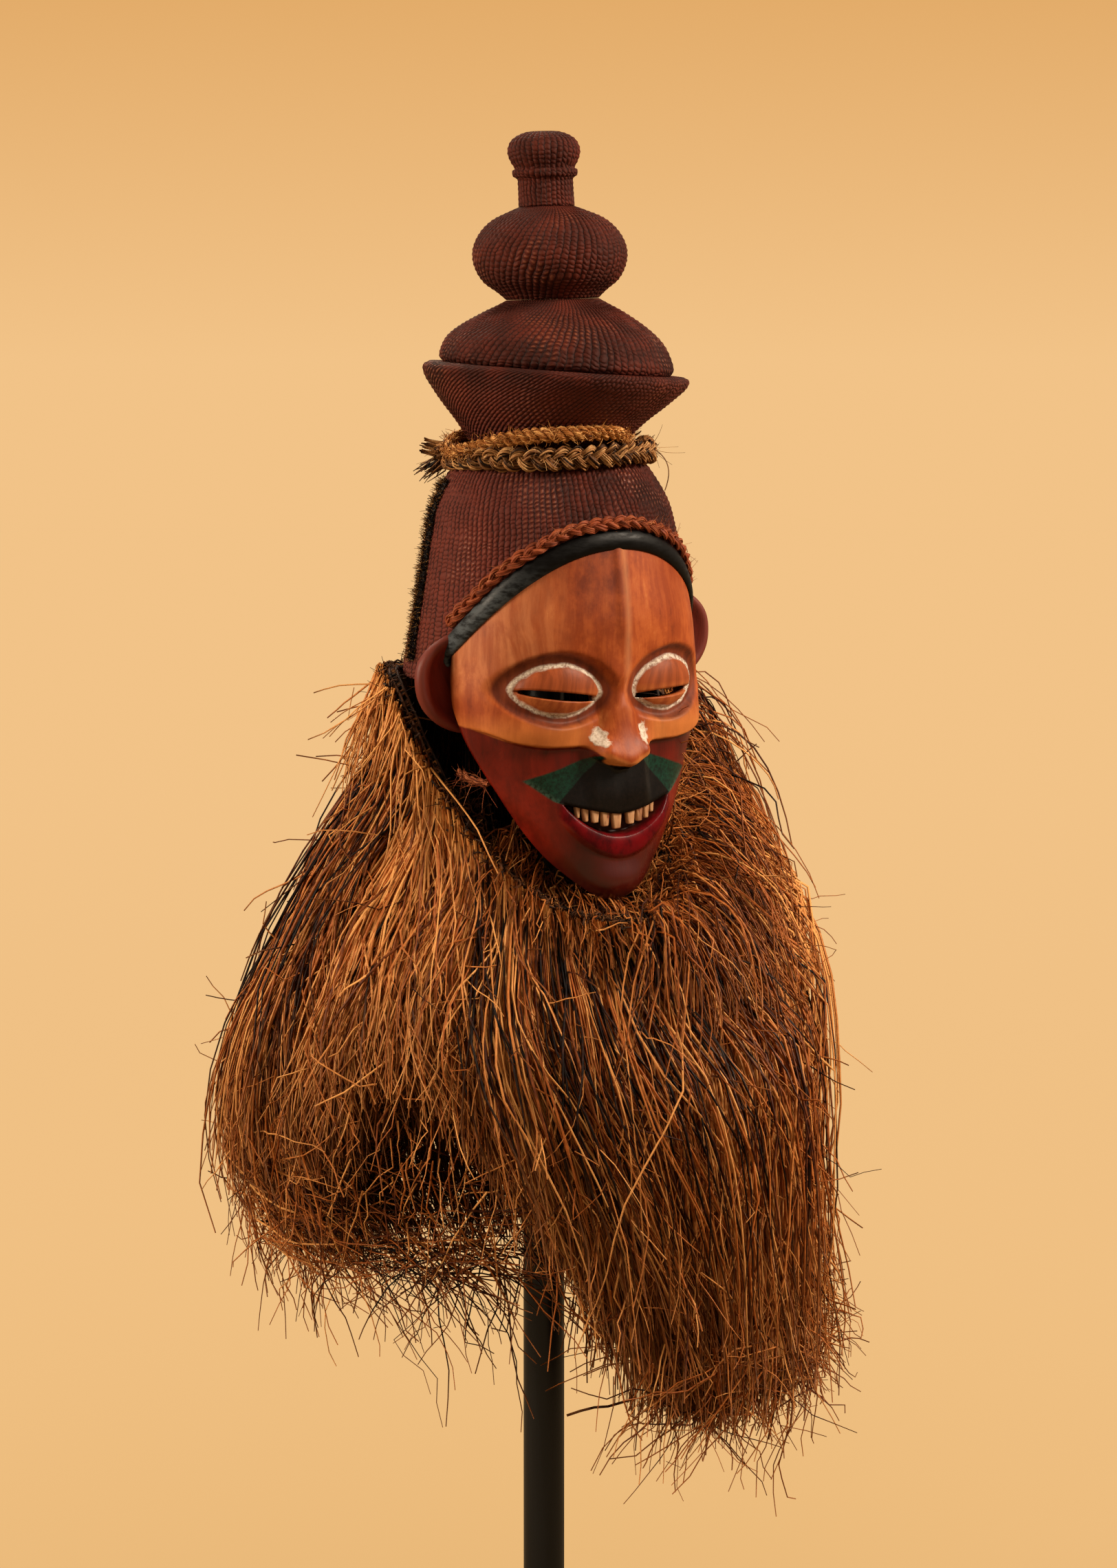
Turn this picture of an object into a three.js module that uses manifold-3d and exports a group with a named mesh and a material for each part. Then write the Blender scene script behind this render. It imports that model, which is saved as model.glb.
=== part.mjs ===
// A carved and painted wooden face mask with a netted cap, a tiered netted finial, plaited ties
// and a long raffia fringe, resting on a round display post with a disc foot.
// Millimetres, +Z up, the face looks along -Y, origin at the centre of the foot's underside.

import * as THREE from 'three';
import * as BufferGeometryUtils from 'three/addons/utils/BufferGeometryUtils.js';
import Module from 'manifold-3d';

const wasm = await Module();
wasm.setup();

// Driving dimensions.
const GAP = 0.3;                  // clearance kept between pieces that touch
const FOOT_RADIUS = 150;
const FOOT_THICKNESS = 12;
const FOOT_BEVEL = 2;
const POST_RADIUS = 15;
const POST_TOP = 960;             // the cap's crown rests on the post's end
const CROWN_Z = 968;              // flat top of the cap, where the finial stands
const CAP_WALL = 6;
const CAP_HEM_Z = 812;            // lower edge of the cap behind the ears
const WOOD_WALL = 11;
const WIDEST = 10;                // how far in front of the post's axis the head is widest
const HEAD_SHIFT = 4;             // the mask hangs a little towards +X on its post
const HEAD_ROLL = -1.8;           // and leans over, top towards -X, in degrees
const HEAD_PIVOT_Z = 800;
const BROW_Z = 917;               // top of the arch where wood and netting meet
const TEMPLE_Z = 838;             // its ends, over the ears
const BAND_HALF = 8.5;            // half width of the carved black brow band
const BAND_RISE = 3.2;            // how far it stands off the forehead
const PLAIT_HALF = 6;             // half width of the plait along the cap's front edge
const PLAIT_DEEP = 4.2;
const PLAIT_ENDS = [-82, 69];     // it ends over each ear, in degrees from straight ahead
const EAR_REACH = 126;
const EAR_HEIGHT = 65;
const EAR_Z = new Map([[-1, 814], [1, 837]]);   // hand carved: the +X ear sits higher
const EAR_BACK = 14;              // depth of the ear's back and of its front edge
const EAR_FRONT = 29;
const EYE_X = 45;
const EYE_Z = 803;
const SLIT_HALF = 28;
const SLIT_HEIGHT = 6;
const SLIT_RISE = new Map([[-1, 3.5], [1, 0.5]]);   // the outer corner of each eye is higher
const NOSE_TOP_Z = 830;
const NOSE_TIP_Z = 758;
const NOSE_BASE_Z = 751;
const NOSE_RISE = 14;
const NOSE_HALF = 20;
const MOUTH_HALF = 46;
const MOUTH_CORNER_Z = 724;
const MOUTH_UPPER_Z = 714;
const MOUTH_LOWER_Z = 699;
const MOUTH_DEPTH = 7;
const TEETH = [-32.5, -27, -20.3, -12.3, -3, 8.8, 16.8, 23.6, 29.6];
const TEETH_WIDTH = [4, 5, 6.5, 7.5, 8.5, 7.5, 6, 5, 4.5];

const TIER_SIDES = 20;
const ROPE_Z = 970;               // the two ties round the finial's foot
const ROPE_DEEP = 4.5;
const ROPE_HALF = 7.5;
const CORD_Z = 983.4;
const CORD_RISE = 2.6;
const TWIST_RADIUS = 3.6;
const CORD_DRIFT = { x: 3, depth: 9.5 };   // the cord's centre at the bowl's foot
const COLLAR_HALF = 13;           // the knotted band that carries the fringe
const COLLAR_DEEP = 6;
const FRINGE_SIDES = 44;
const LOCK_DEPTH = 5;             // how far the locks of the fringe stand out
const SEAM_DEGREES = -107;
const SEAM_HALF = 5;
const SEAM_DEEP = 3;

const RAD = Math.PI / 180;

// A smooth curve through a few rows [position, value], flat beyond its ends.
function curveThrough(rows) {
  const slopes = rows.map((row, i) => {
    const before = rows[Math.max(i - 1, 0)];
    const after = rows[Math.min(i + 1, rows.length - 1)];
    return (after[1] - before[1]) / (after[0] - before[0]);
  });
  return (at) => {
    const last = rows.length - 1;
    if (at <= rows[0][0]) return rows[0][1];
    if (at >= rows[last][0]) return rows[last][1];
    const i = rows.findIndex((row) => row[0] > at) - 1;
    const span = rows[i + 1][0] - rows[i][0];
    const t = (at - rows[i][0]) / span;
    const value = (2 * t ** 3 - 3 * t ** 2 + 1) * rows[i][1] + (3 * t ** 2 - 2 * t ** 3) * rows[i + 1][1];
    return value + span * ((t ** 3 - 2 * t ** 2 + t) * slopes[i] + (t ** 3 - t ** 2) * slopes[i + 1]);
  };
}

const smoothstep = (low, high, at) => THREE.MathUtils.smoothstep(at, low, high);
const bell = (distance) => Math.exp(-distance * distance);

// The head that wood and netting share: half width, reach to the front, reach to the back and
// squareness of its section, each by height.
const halfWidth = curveThrough([
  [653, 8], [656, 20], [663, 34], [681, 50.5], [708, 66], [737, 84], [754, 91.5], [774, 98],
  [800, 100.5], [830, 98.5], [850, 97], [884, 93], [915, 88], [935, 84], [956, 73], [970, 62],
]);
const front = curveThrough([
  [653, 80], [656, 85], [664, 88.5], [684, 90], [712, 90], [742, 90], [772, 90.5], [808, 93],
  [850, 99], [884, 97], [918, 92], [935, 87], [956, 76], [970, 67],
]);
const back = curveThrough([
  [800, 97], [830, 94], [850, 89], [884, 81], [911, 79], [935, 74], [956, 64], [970, 54],
]);
const squareness = curveThrough([[653, 2.6], [706, 3.2], [750, 3.1], [800, 2.75], [870, 2.35], [960, 2.05]]);

// A point of the head at an angle from straight ahead (+90 is the +X side) and a height.
function headPoint(degrees, z, inset = 0) {
  const s = Math.sin(degrees * RAD);
  const c = Math.cos(degrees * RAD);
  const reach = (c >= 0 ? front(z) - WIDEST : back(z) + WIDEST) - inset;
  const power = 2 / squareness(z);
  const x = Math.max(halfWidth(z) - inset, 1) * Math.sign(s) * Math.abs(s) ** power;
  const depth = WIDEST + Math.max(reach, 1) * Math.sign(c) * Math.abs(c) ** power;
  return new THREE.Vector3(x, -depth, z);
}

function headNormal(degrees, z) {
  const around = headPoint(degrees + 1, z).sub(headPoint(degrees - 1, z));
  const upward = headPoint(degrees, z + 1).sub(headPoint(degrees, z - 1));
  return around.cross(upward).normalize();
}

// A closed body through rings of equally many points. An open one gets a fan over each end.
function loft(rings, closed = false) {
  const count = rings[0].length;
  const points = rings.flat();
  const index = [];
  const last = closed ? rings.length : rings.length - 1;
  for (let i = 0; i < last; i++) {
    for (let j = 0; j < count; j++) {
      const a = i * count + j;
      const b = i * count + (j + 1) % count;
      const c = ((i + 1) % rings.length) * count + j;
      const d = ((i + 1) % rings.length) * count + (j + 1) % count;
      index.push(a, b, d, a, d, c);
    }
  }
  if (!closed) {
    for (const [ring, first] of [[rings[0], 0], [rings.at(-1), (rings.length - 1) * count]]) {
      const middle = ring.reduce((sum, p) => sum.add(p), new THREE.Vector3()).divideScalar(count);
      points.push(middle);
      for (let j = 0; j < count; j++) {
        const edge = [first + j, first + (j + 1) % count];
        if (first === 0) edge.reverse();
        index.push(points.length - 1, ...edge);
      }
    }
  }
  const geometry = new THREE.BufferGeometry().setFromPoints(points);
  geometry.setIndex(index);
  return facingOut(geometry);
}

// Turns the faces round where a body came out inside out.
function facingOut(geometry) {
  const at = geometry.getAttribute('position');
  const index = geometry.index.array;
  const corner = (i) => new THREE.Vector3().fromBufferAttribute(at, index[i]);
  let volume = 0;
  for (let i = 0; i < index.length; i += 3) volume += corner(i).cross(corner(i + 1)).dot(corner(i + 2));
  if (volume < 0) geometry.setIndex(Array.from(index).reverse());
  return geometry;
}

// A band, cord or plait along stations, each with its place, outward direction and half sizes
// across (in the surface) and out of it.
function sweep(stations, sides, closed) {
  const rings = stations.map((station, i) => {
    const count = stations.length;
    const next = closed ? stations[(i + 1) % count] : stations[Math.min(i + 1, count - 1)];
    const before = closed ? stations[(i + count - 1) % count] : stations[Math.max(i - 1, 0)];
    const along = next.at.clone().sub(before.at).normalize();
    const across = along.clone().cross(station.out).normalize();
    const out = across.clone().cross(along).normalize();
    return Array.from({ length: sides }, (_, j) => {
      const turn = (j + 0.5) / sides * 2 * Math.PI;
      return station.at.clone().addScaledVector(across, station.wide * Math.cos(turn))
        .addScaledVector(out, station.deep * Math.sin(turn));
    });
  });
  return loft(rings, closed);
}

function solid(geometry) {
  const bare = geometry.clone();
  bare.deleteAttribute('normal');
  bare.deleteAttribute('uv');
  const merged = BufferGeometryUtils.mergeVertices(bare, 1e-3);
  return new wasm.Manifold(new wasm.Mesh({
    numProp: 3,
    vertProperties: new Float32Array(merged.getAttribute('position').array),
    triVerts: new Uint32Array(merged.index.array),
  }));
}

function geometryOf(body) {
  const mesh = body.getMesh();
  const geometry = new THREE.BufferGeometry();
  geometry.setAttribute('position', new THREE.BufferAttribute(new Float32Array(mesh.vertProperties), 3));
  geometry.setIndex(Array.from(mesh.triVerts));
  return geometry;
}

function box(low, high) {
  const geometry = new THREE.BoxGeometry(high[0] - low[0], high[1] - low[1], high[2] - low[2]);
  return solid(geometry.translate((low[0] + high[0]) / 2, (low[1] + high[1]) / 2, (low[2] + high[2]) / 2));
}

// A prism across the head from a side view outline of [reach to the front, height] points.
function sidePrism(outline) {
  const shape = new THREE.Shape(outline.map(([reach, z]) => new THREE.Vector2(-reach, z)));
  const geometry = new THREE.ExtrudeGeometry(shape, { depth: 400, bevelEnabled: false });
  geometry.translate(0, 0, -200).applyMatrix4(new THREE.Matrix4().set(
    0, 0, 1, 0,
    1, 0, 0, 0,
    0, 1, 0, 0,
    0, 0, 0, 1,
  ));
  return solid(geometry);
}

// The rim of the wood as its side view shows it: brow arch, straight edge at the ears, jaw.
const rimReach = curveThrough([
  [652, 76], [656, 79], [663, 79.5], [684, 73], [714, 66], [737, 58.5], [758, 48], [780, 36],
  [800, 28], [838, 28], [862, 42], [889, 64], [907, 82], [914, 90], [917, 95],
]);

function rimOutline(shift) {
  const outline = [[140, 640], [76 - shift, 640]];
  for (let z = 652; z < BROW_Z; z += 7) outline.push([rimReach(z) - shift, z + shift]);
  outline.push([94, BROW_Z + shift], [140, BROW_Z + shift]);
  return outline;
}

// A station on the arch of the brow, by angle from straight ahead, moved up across it in the
// surface and lifted off the surface.
function browStation(degrees, across, lift, wide, deep) {
  const arch = (turn) => headPoint(turn, TEMPLE_Z + (BROW_Z - TEMPLE_Z) * Math.cos(turn * RAD));
  const turn = THREE.MathUtils.clamp(degrees, -88, 88);
  const along = arch(turn + 1).sub(arch(turn - 1)).normalize();
  const out = headNormal(turn, arch(turn).z);
  const up = out.clone().cross(along).normalize();
  const at = arch(turn).addScaledVector(up, across).addScaledVector(out, lift);
  at.z -= Math.max(Math.abs(degrees) - 88, 0);
  return { at, out, wide, deep };
}

// Height of the carving over the plain form of the face, at a place seen from the front.
function relief(x, z) {
  const side = Math.abs(x);
  const down = THREE.MathUtils.clamp((NOSE_TOP_Z - z) / (NOSE_TOP_Z - NOSE_TIP_Z), 0, 1);
  const noseHalf = 7 + (NOSE_HALF - 9) * down ** 2.2;
  const noseEnd = smoothstep(NOSE_BASE_Z - 3, NOSE_BASE_Z + 2, z - side * 0.16);
  const ridge = (2 + (NOSE_RISE - 2) * down ** 1.3) * Math.max(0, 1 - (side / (noseHalf + 5)) ** 2) * noseEnd;
  const wing = 9 * bell(Math.hypot((side - 18) / 6.5, (z - NOSE_TIP_Z - 4) / 9)) * noseEnd;
  const socket = Math.hypot((side - EYE_X) / 43, (z - EYE_Z) / 31);
  const lid = Math.hypot((side - EYE_X) / 33, (z - EYE_Z) / 23);
  const hollow = -7 * (1 - smoothstep(0.62, 1, socket));
  const bulge = 8 * Math.max(0, 1 - lid * lid) ** 0.6;
  const cheek = 764 + 14 * (side / 90) ** 3;
  const under = (1 - smoothstep(cheek - 3, cheek + 1, z)) * smoothstep(708, 753, z) * smoothstep(14, 24, side);
  const muzzle = 3 * bell(Math.hypot(side / 38, (z - 720) / 30));
  const lipLine = MOUTH_LOWER_Z - 4 + 22 * (side / MOUTH_HALF) ** 2;
  const lip = 5 * bell((z - lipLine) / 7) * (1 - smoothstep(MOUTH_HALF - 20, MOUTH_HALF, side));
  const chin = 3 * bell(Math.hypot(side / 24, (z - 669) / 12));
  const middle = 1.2 * bell(side / 3) * smoothstep(828, 858, z);
  return ridge + wing + hollow + bulge - 4 * under + muzzle + lip + chin + middle;
}

// Rows lie closer where the carving is fine.
const faceRow = curveThrough([[0, 653], [6, 672], [18, 708], [32, 766], [44, 830], [50, 880], [54, 918], [56, 932]]);

function facePoint(degrees, z) {
  const point = headPoint(degrees, z);
  const raised = relief(point.x, z) * (1 - smoothstep(-62, -40, point.y));
  return point.addScaledVector(headNormal(degrees, z), raised);
}

function faceForm() {
  const columns = 26;
  const rows = 31;
  const rings = [];
  for (let row = 0; row <= rows; row++) {
    const z = faceRow(row / rows * 56);
    rings.push(Array.from({ length: columns + 1 }, (_, i) => {
      const t = i / columns * 2 - 1;
      return facePoint((0.62 * t + 0.38 * t ** 3) * 89, z);
    }));
  }
  return solid(loft(rings));
}

function headForm(inset, heights, sides) {
  return solid(loft(heights.map((z) => Array.from(
    { length: sides }, (_, i) => headPoint((i + 0.5) / sides * 360 - 180, z, inset)))));
}

function browBand(clearance) {
  const stations = [];
  for (let degrees = -95; degrees <= 95; degrees += 9.5) {
    stations.push(browStation(degrees, -BAND_HALF, 0, BAND_HALF + clearance, BAND_RISE + clearance));
  }
  return solid(sweep(stations, 6, false));
}

// An ear is a leaf that stands straight out at the side, hollow on its front.
function ear(side, clearance) {
  const middle = EAR_Z.get(side);
  const half = EAR_HEIGHT / 2 + clearance;
  const sides = 14;
  const outline = (scale, depth) => Array.from({ length: sides }, (_, i) => {
    const turn = i / sides * 2 * Math.PI;
    const out = 84 + (EAR_REACH - 84 + clearance) * scale * Math.max(Math.cos(turn), -0.2);
    return new THREE.Vector3(side * out, -depth, middle + half * scale * Math.sin(turn) * (1 - 0.1 * Math.cos(turn)));
  });
  const rings = [outline(0.82, EAR_BACK - clearance), outline(1, EAR_BACK + 6), outline(0.96, EAR_FRONT + clearance)];
  if (clearance === 0) rings.push(outline(0.84, EAR_FRONT), outline(0.7, EAR_FRONT - 6), outline(0.35, EAR_FRONT - 8));
  return solid(loft(rings));
}

// The angle at which the plain form of the face lies at this distance from its middle line.
function degreesAt(x, z) {
  const share = THREE.MathUtils.clamp(Math.abs(x) / halfWidth(z), 0, 1);
  return Math.sign(x) * Math.asin(share ** (squareness(z) / 2)) / RAD;
}

function mouth() {
  const half = 8;
  const outline = (grow) => {
    const points = [];
    for (let i = -half; i <= half; i++) {
      const t = i / half;
      points.push([t * (MOUTH_HALF + grow), MOUTH_UPPER_Z + grow + (MOUTH_CORNER_Z - MOUTH_UPPER_Z) * t * t]);
    }
    for (let i = half - 1; i > -half; i--) {
      const t = i / half;
      points.push([t * MOUTH_HALF, MOUTH_LOWER_Z - grow + (MOUTH_CORNER_Z - MOUTH_LOWER_Z) * Math.abs(t) ** 2.2]);
    }
    return points;
  };
  const at = ([x, z], out) => new THREE.Vector3(x, facePoint(degreesAt(x, z), z).y - out, z);
  return solid(loft([outline(0).map((p) => at(p, -MOUTH_DEPTH)), outline(2).map((p) => at(p, 30))]));
}

function teeth() {
  return TEETH.map((x, i) => {
    const bow = (x / MOUTH_HALF) ** 2;
    const top = MOUTH_UPPER_Z + 2 + (MOUTH_CORNER_Z - MOUTH_UPPER_Z) * bow;
    const low = top - 11 + 5 * bow;
    const y = facePoint(degreesAt(x, top), top).y;
    const half = TEETH_WIDTH[i] / 2;
    const ring = (z, wide) => [[-wide, 2], [wide, 2], [wide, 9], [-wide, 9]].map(
      ([across, inward]) => new THREE.Vector3(x + across, y + inward, z));
    return solid(loft([ring(low, half * 0.72), ring(top, half)]));
  });
}

function eyeSlit(side) {
  const ring = (depth) => Array.from({ length: 14 }, (_, i) => {
    const turn = i / 14 * 2 * Math.PI;
    const across = SLIT_HALF * Math.cos(turn);
    const bow = Math.sin(turn) < 0 ? 0.62 : 0.38;
    const height = SLIT_HEIGHT * bow * Math.sin(turn) + SLIT_RISE.get(side) * across / SLIT_HALF;
    return new THREE.Vector3(side * (EYE_X + across), -depth, EYE_Z + height);
  });
  return solid(loft([ring(20), ring(140)]));
}

function makeFace() {
  let body = faceForm().intersect(sidePrism(rimOutline(0))).add(browBand(0)).add(ear(-1, 0)).add(ear(1, 0));
  body = body.subtract(headForm(WOOD_WALL, [674, 700, 730, 760, 790, 830, 862, 888, 900], 20));
  body = body.subtract(eyeSlit(-1)).subtract(eyeSlit(1)).subtract(mouth());
  for (const tooth of teeth()) body = body.add(tooth);
  return body;
}

// Netting over the crown of the head, open below and at the face.
function makeCap() {
  const outer = headForm(0, [780, 830, 858, 884, 908, 930, 946, 958, CROWN_Z], 32);
  const inner = headForm(CAP_WALL, [760, 830, 870, 908, 935, CROWN_Z - CAP_WALL - 1], 24);
  const faceSide = sidePrism(rimOutline(GAP)).add(box([-140, -140, 600], [140, 0.5 - EAR_BACK, 844]));
  let body = outer.subtract(inner).subtract(faceSide).subtract(browBand(GAP));
  body = body.subtract(ear(-1, 2 * GAP)).subtract(ear(1, 2 * GAP));
  return body.subtract(box([-200, -200, 600], [200, 200, CAP_HEM_Z]));
}

function makeBrowPlait() {
  const stations = [];
  const count = 25;
  for (let i = 0; i <= count; i++) {
    const lump = 1 + 0.16 * Math.cos(i * Math.PI);
    const degrees = THREE.MathUtils.lerp(...PLAIT_ENDS, i / count);
    stations.push(browStation(degrees, PLAIT_HALF + 1.2, PLAIT_DEEP + 0.8, PLAIT_HALF * lump, PLAIT_DEEP * lump));
  }
  return geometryOf(solid(sweep(stations, 5, false)).subtract(ear(-1, 2 * GAP)).subtract(ear(1, 2 * GAP)));
}

// The finial's tiers are turned forms that lean and drift a little, as soft netting does. A
// tier's low and high ends each have a centre and a slope that falls towards the viewer's right.
function makeTier(profile, low, high) {
  const geometry = new THREE.LatheGeometry(profile.map(([r, z]) => new THREE.Vector2(r, z)), TIER_SIDES);
  geometry.rotateX(Math.PI / 2);
  const at = geometry.getAttribute('position');
  const zLow = profile[0][1];
  const zHigh = profile.at(-1)[1];
  for (let i = 0; i < at.count; i++) {
    const t = THREE.MathUtils.clamp((at.getZ(i) - zLow) / (zHigh - zLow), 0, 1);
    const mix = (key) => THREE.MathUtils.lerp(low[key], high[key], t);
    const fall = mix('slope') * (0.839 * at.getX(i) - 0.545 * at.getY(i));
    at.setXYZ(i, at.getX(i) + mix('x'), at.getY(i) - mix('depth'), at.getZ(i) - fall);
  }
  return geometryOf(solid(geometry));
}

const STACK = {
  crown: { x: 3, depth: 8, slope: 0 },
  rim: { x: 6, depth: 12, slope: 0.06 },
  dome: { x: 6, depth: 10, slope: 0 },
  ball: { x: 5, depth: 7, slope: 0 },
  knob: { x: 5, depth: 4, slope: 0 },
};
const BOWL = [
  [0, CROWN_Z + GAP], [56, CROWN_Z + GAP], [60, 975], [66, 985], [74, 995], [84, 1005], [92, 1015],
  [96, 1022], [96, 1028], [90, 1030], [0, 1030],
];
const DISC = [
  [0, 1030 + GAP], [82, 1030 + GAP], [84.5, 1034], [83, 1041], [76, 1051], [66, 1060], [50, 1069.5],
  [38, 1076], [33, 1080], [0, 1080],
];
const BALL = [
  [0, 1080 + GAP], [33, 1080 + GAP], [39, 1086], [50, 1095], [56, 1106], [56, 1116], [51, 1126],
  [41, 1136], [24, 1144], [20, 1146], [0, 1146],
];
const KNOB = [
  [0, 1146 + GAP], [20, 1146 + GAP], [19.5, 1166], [23.5, 1168], [23.5, 1172], [21, 1173.5],
  [25, 1180], [25.5, 1187], [22, 1194], [13, 1199], [0, 1200],
];

function knot(x, depth, z, radius) {
  return solid(new THREE.IcosahedronGeometry(radius, 1).scale(1, 1, 1.25).translate(x, -depth, z));
}

// The wide plait lies round the crown's edge, with its ends knotted at the left and at the right.
function makeTiePlait() {
  const count = 28;
  const stations = Array.from({ length: count }, (_, i) => {
    const degrees = i / count * 360 - 180;
    const out = headNormal(degrees, 962).setZ(0).normalize();
    const lump = 1 + 0.1 * Math.cos(i * Math.PI);
    const at = headPoint(degrees, 962).setZ(ROPE_Z).addScaledVector(out, ROPE_DEEP + 1.5);
    return { at, out, wide: ROPE_HALF * lump, deep: ROPE_DEEP * lump };
  });
  return solid(sweep(stations, 5, true)).add(knot(-69, -30, ROPE_Z + 1, 10)).add(knot(67, 39, ROPE_Z - 1, 8.5))
    .subtract(headForm(-GAP, [930, 946, 958, CROWN_Z + GAP], 36));
}

// The thin cord over it rises round the bowl's foot towards the front.
function makeTieCord() {
  const count = 24;
  const bowlReach = curveThrough(BOWL.slice(1, -1).map(([r, z]) => [z, r]));
  const stations = Array.from({ length: count }, (_, i) => {
    const turn = i / count * 2 * Math.PI;
    const out = new THREE.Vector3(Math.sin(turn), -Math.cos(turn), 0);
    const z = CORD_Z + CORD_RISE * Math.cos(turn);
    const reach = bowlReach(z + TWIST_RADIUS) + TWIST_RADIUS + 0.7;
    const at = out.clone().multiplyScalar(reach).add(new THREE.Vector3(CORD_DRIFT.x, -CORD_DRIFT.depth, z));
    return { at, out, wide: TWIST_RADIUS, deep: TWIST_RADIUS };
  });
  return sweep(stations, 6, true);
}

function makeSeam() {
  const stations = [];
  for (let z = 954; z >= CAP_HEM_Z + 12; z -= 12) {
    const out = headNormal(SEAM_DEGREES, z);
    const at = headPoint(SEAM_DEGREES, z).addScaledVector(out, SEAM_DEEP + 0.6);
    stations.push({ at, out, wide: SEAM_HALF, deep: SEAM_DEEP });
  }
  return sweep(stations, 6, false);
}

// The loop where the fringe is tied: high behind the ears and round the back, dropping along the
// jaw to pass under the chin. By angle, the same on both sides.
const loopReach = curveThrough([[0, 102], [30, 82], [60, 84], [85, 98], [105, 112], [140, 110], [180, 110]]);
const loopHeight = curveThrough([[0, 628], [30, 640], [60, 674], [85, 732], [105, 796], [140, 806], [180, 806]]);

function loopPoint(degrees, outward, up) {
  const reach = loopReach(Math.abs(degrees)) + outward;
  return new THREE.Vector3(reach * Math.sin(degrees * RAD), -reach * Math.cos(degrees * RAD),
    loopHeight(Math.abs(degrees)) + up);
}

function collarBand(clearance) {
  const count = 36;
  const stations = Array.from({ length: count }, (_, i) => {
    const degrees = i / count * 360 - 180;
    const out = loopPoint(degrees, 1, 0).sub(loopPoint(degrees, 0, 0));
    const lump = clearance > 0 ? 1.08 : 1 + 0.08 * Math.cos(i * Math.PI);
    const at = loopPoint(degrees, 0, 0);
    return { at, out, wide: COLLAR_HALF * lump + clearance, deep: COLLAR_DEEP * lump + clearance };
  });
  return solid(sweep(stations, 5, true));
}

// How far the fringe bulges on four sides, by height, and the height of its hem by angle.
const FRINGE_SPREAD = [
  [-123, curveThrough([[350, 200], [395, 224], [445, 241], [495, 248], [545, 242], [595, 224], [695, 166], [800, 122]])],
  [-33, curveThrough([[340, 168], [395, 178], [445, 184], [495, 182], [545, 172], [595, 152], [645, 128], [745, 120]])],
  [50, curveThrough([[240, 150], [270, 176], [300, 195], [345, 202], [445, 198], [545, 197], [645, 186], [745, 172]])],
  [97, curveThrough([[300, 190], [345, 202], [445, 204], [545, 206], [645, 210], [700, 220], [745, 236], [775, 238]])],
  [155, curveThrough([[350, 180], [395, 196], [445, 202], [545, 192], [645, 172], [695, 158], [745, 146], [800, 126]])],
];
const hemHeight = curveThrough([
  [-180, 405], [-123, 404], [-82, 400], [-58, 396], [-42, 400], [-32, 360], [-19, 306], [0, 278],
  [16, 274], [40, 280], [57, 296], [80, 328], [110, 368], [147, 398], [180, 405],
]);

// The share of its length over which the fringe opens out from the band: quickly at the +X side.
const openShare = curveThrough([[-180, 0.3], [45, 0.32], [80, 0.12], [95, 0.06], [115, 0.07], [150, 0.2], [180, 0.3]]);

function fringeSpread(degrees, z) {
  let total = 0;
  let weight = 0;
  for (const [toward, spread] of FRINGE_SPREAD) {
    const away = Math.abs((degrees - toward + 540) % 360 - 180) / 95;
    const share = Math.cos(Math.min(away, 1) * Math.PI / 2) ** 2;
    total += spread(z) * share;
    weight += share;
  }
  return total / weight;
}

function makeFringe() {
  const outer = [0, 0.06, 0.17, 0.32, 0.5, 0.68, 0.87, 1];
  const inner = [1, 0.85, 0.6, 0.3, 0];
  const rings = Array.from({ length: FRINGE_SIDES }, (_, i) => {
    const degrees = i / FRINGE_SIDES * 360 - 180;
    const lock = Math.cos(i * Math.PI);
    const top = loopHeight(Math.abs(degrees)) + 8;
    const hem = hemHeight(degrees) + 7 * lock;
    const start = loopReach(Math.abs(degrees)) + COLLAR_DEEP + 8;
    const point = (share, wall) => {
      const z = top + (hem - top) * share;
      const open = smoothstep(0, openShare(degrees), share);
      const reach = start + (fringeSpread(degrees, z) - start) * open - wall;
      return new THREE.Vector3(reach * Math.sin(degrees * RAD), -reach * Math.cos(degrees * RAD), z);
    };
    return [
      ...outer.map((share) => point(share, -LOCK_DEPTH * lock * smoothstep(0.05, 0.3, share))),
      ...inner.map((share) => point(share, share === 0 ? 7 : 10 + 12 * Math.sin(share * Math.PI))),
    ];
  });
  return solid(loft(rings, true)).subtract(collarBand(GAP));
}

function makeLashing(side) {
  const path = new THREE.CatmullRomCurve3([
    new THREE.Vector3(side * 88, -17, 745),
    new THREE.Vector3(side * 85, -30, 743),
    new THREE.Vector3(side * 80, -43, 741),
  ]);
  const section = new THREE.Shape().absarc(0, 0, 2.6, 0, 2 * Math.PI);
  return new THREE.ExtrudeGeometry(section, { steps: 4, extrudePath: path, curveSegments: 3 });
}

function makePost() {
  const profile = [[0, FOOT_THICKNESS + GAP], [POST_RADIUS, FOOT_THICKNESS + GAP], [POST_RADIUS, POST_TOP - 3],
    [POST_RADIUS - 3, POST_TOP], [0, POST_TOP]];
  return new THREE.LatheGeometry(profile.map(([r, z]) => new THREE.Vector2(r, z)), 20).rotateX(Math.PI / 2);
}

function makeFoot() {
  const profile = [[0, 0], [FOOT_RADIUS, 0], [FOOT_RADIUS, FOOT_THICKNESS - FOOT_BEVEL],
    [FOOT_RADIUS - FOOT_BEVEL, FOOT_THICKNESS], [0, FOOT_THICKNESS]];
  return new THREE.LatheGeometry(profile.map(([r, z]) => new THREE.Vector2(r, z)), 36).rotateX(Math.PI / 2);
}

const finish = (color, roughness, metalness = 0) => new THREE.MeshStandardMaterial({ color, roughness, metalness });
const netting = finish(0x4b1e19, 0.7);
const plaited = finish(0x8a5a2c, 0.85);
const painted = finish(0x17181a, 0.4, 0.6);

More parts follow.
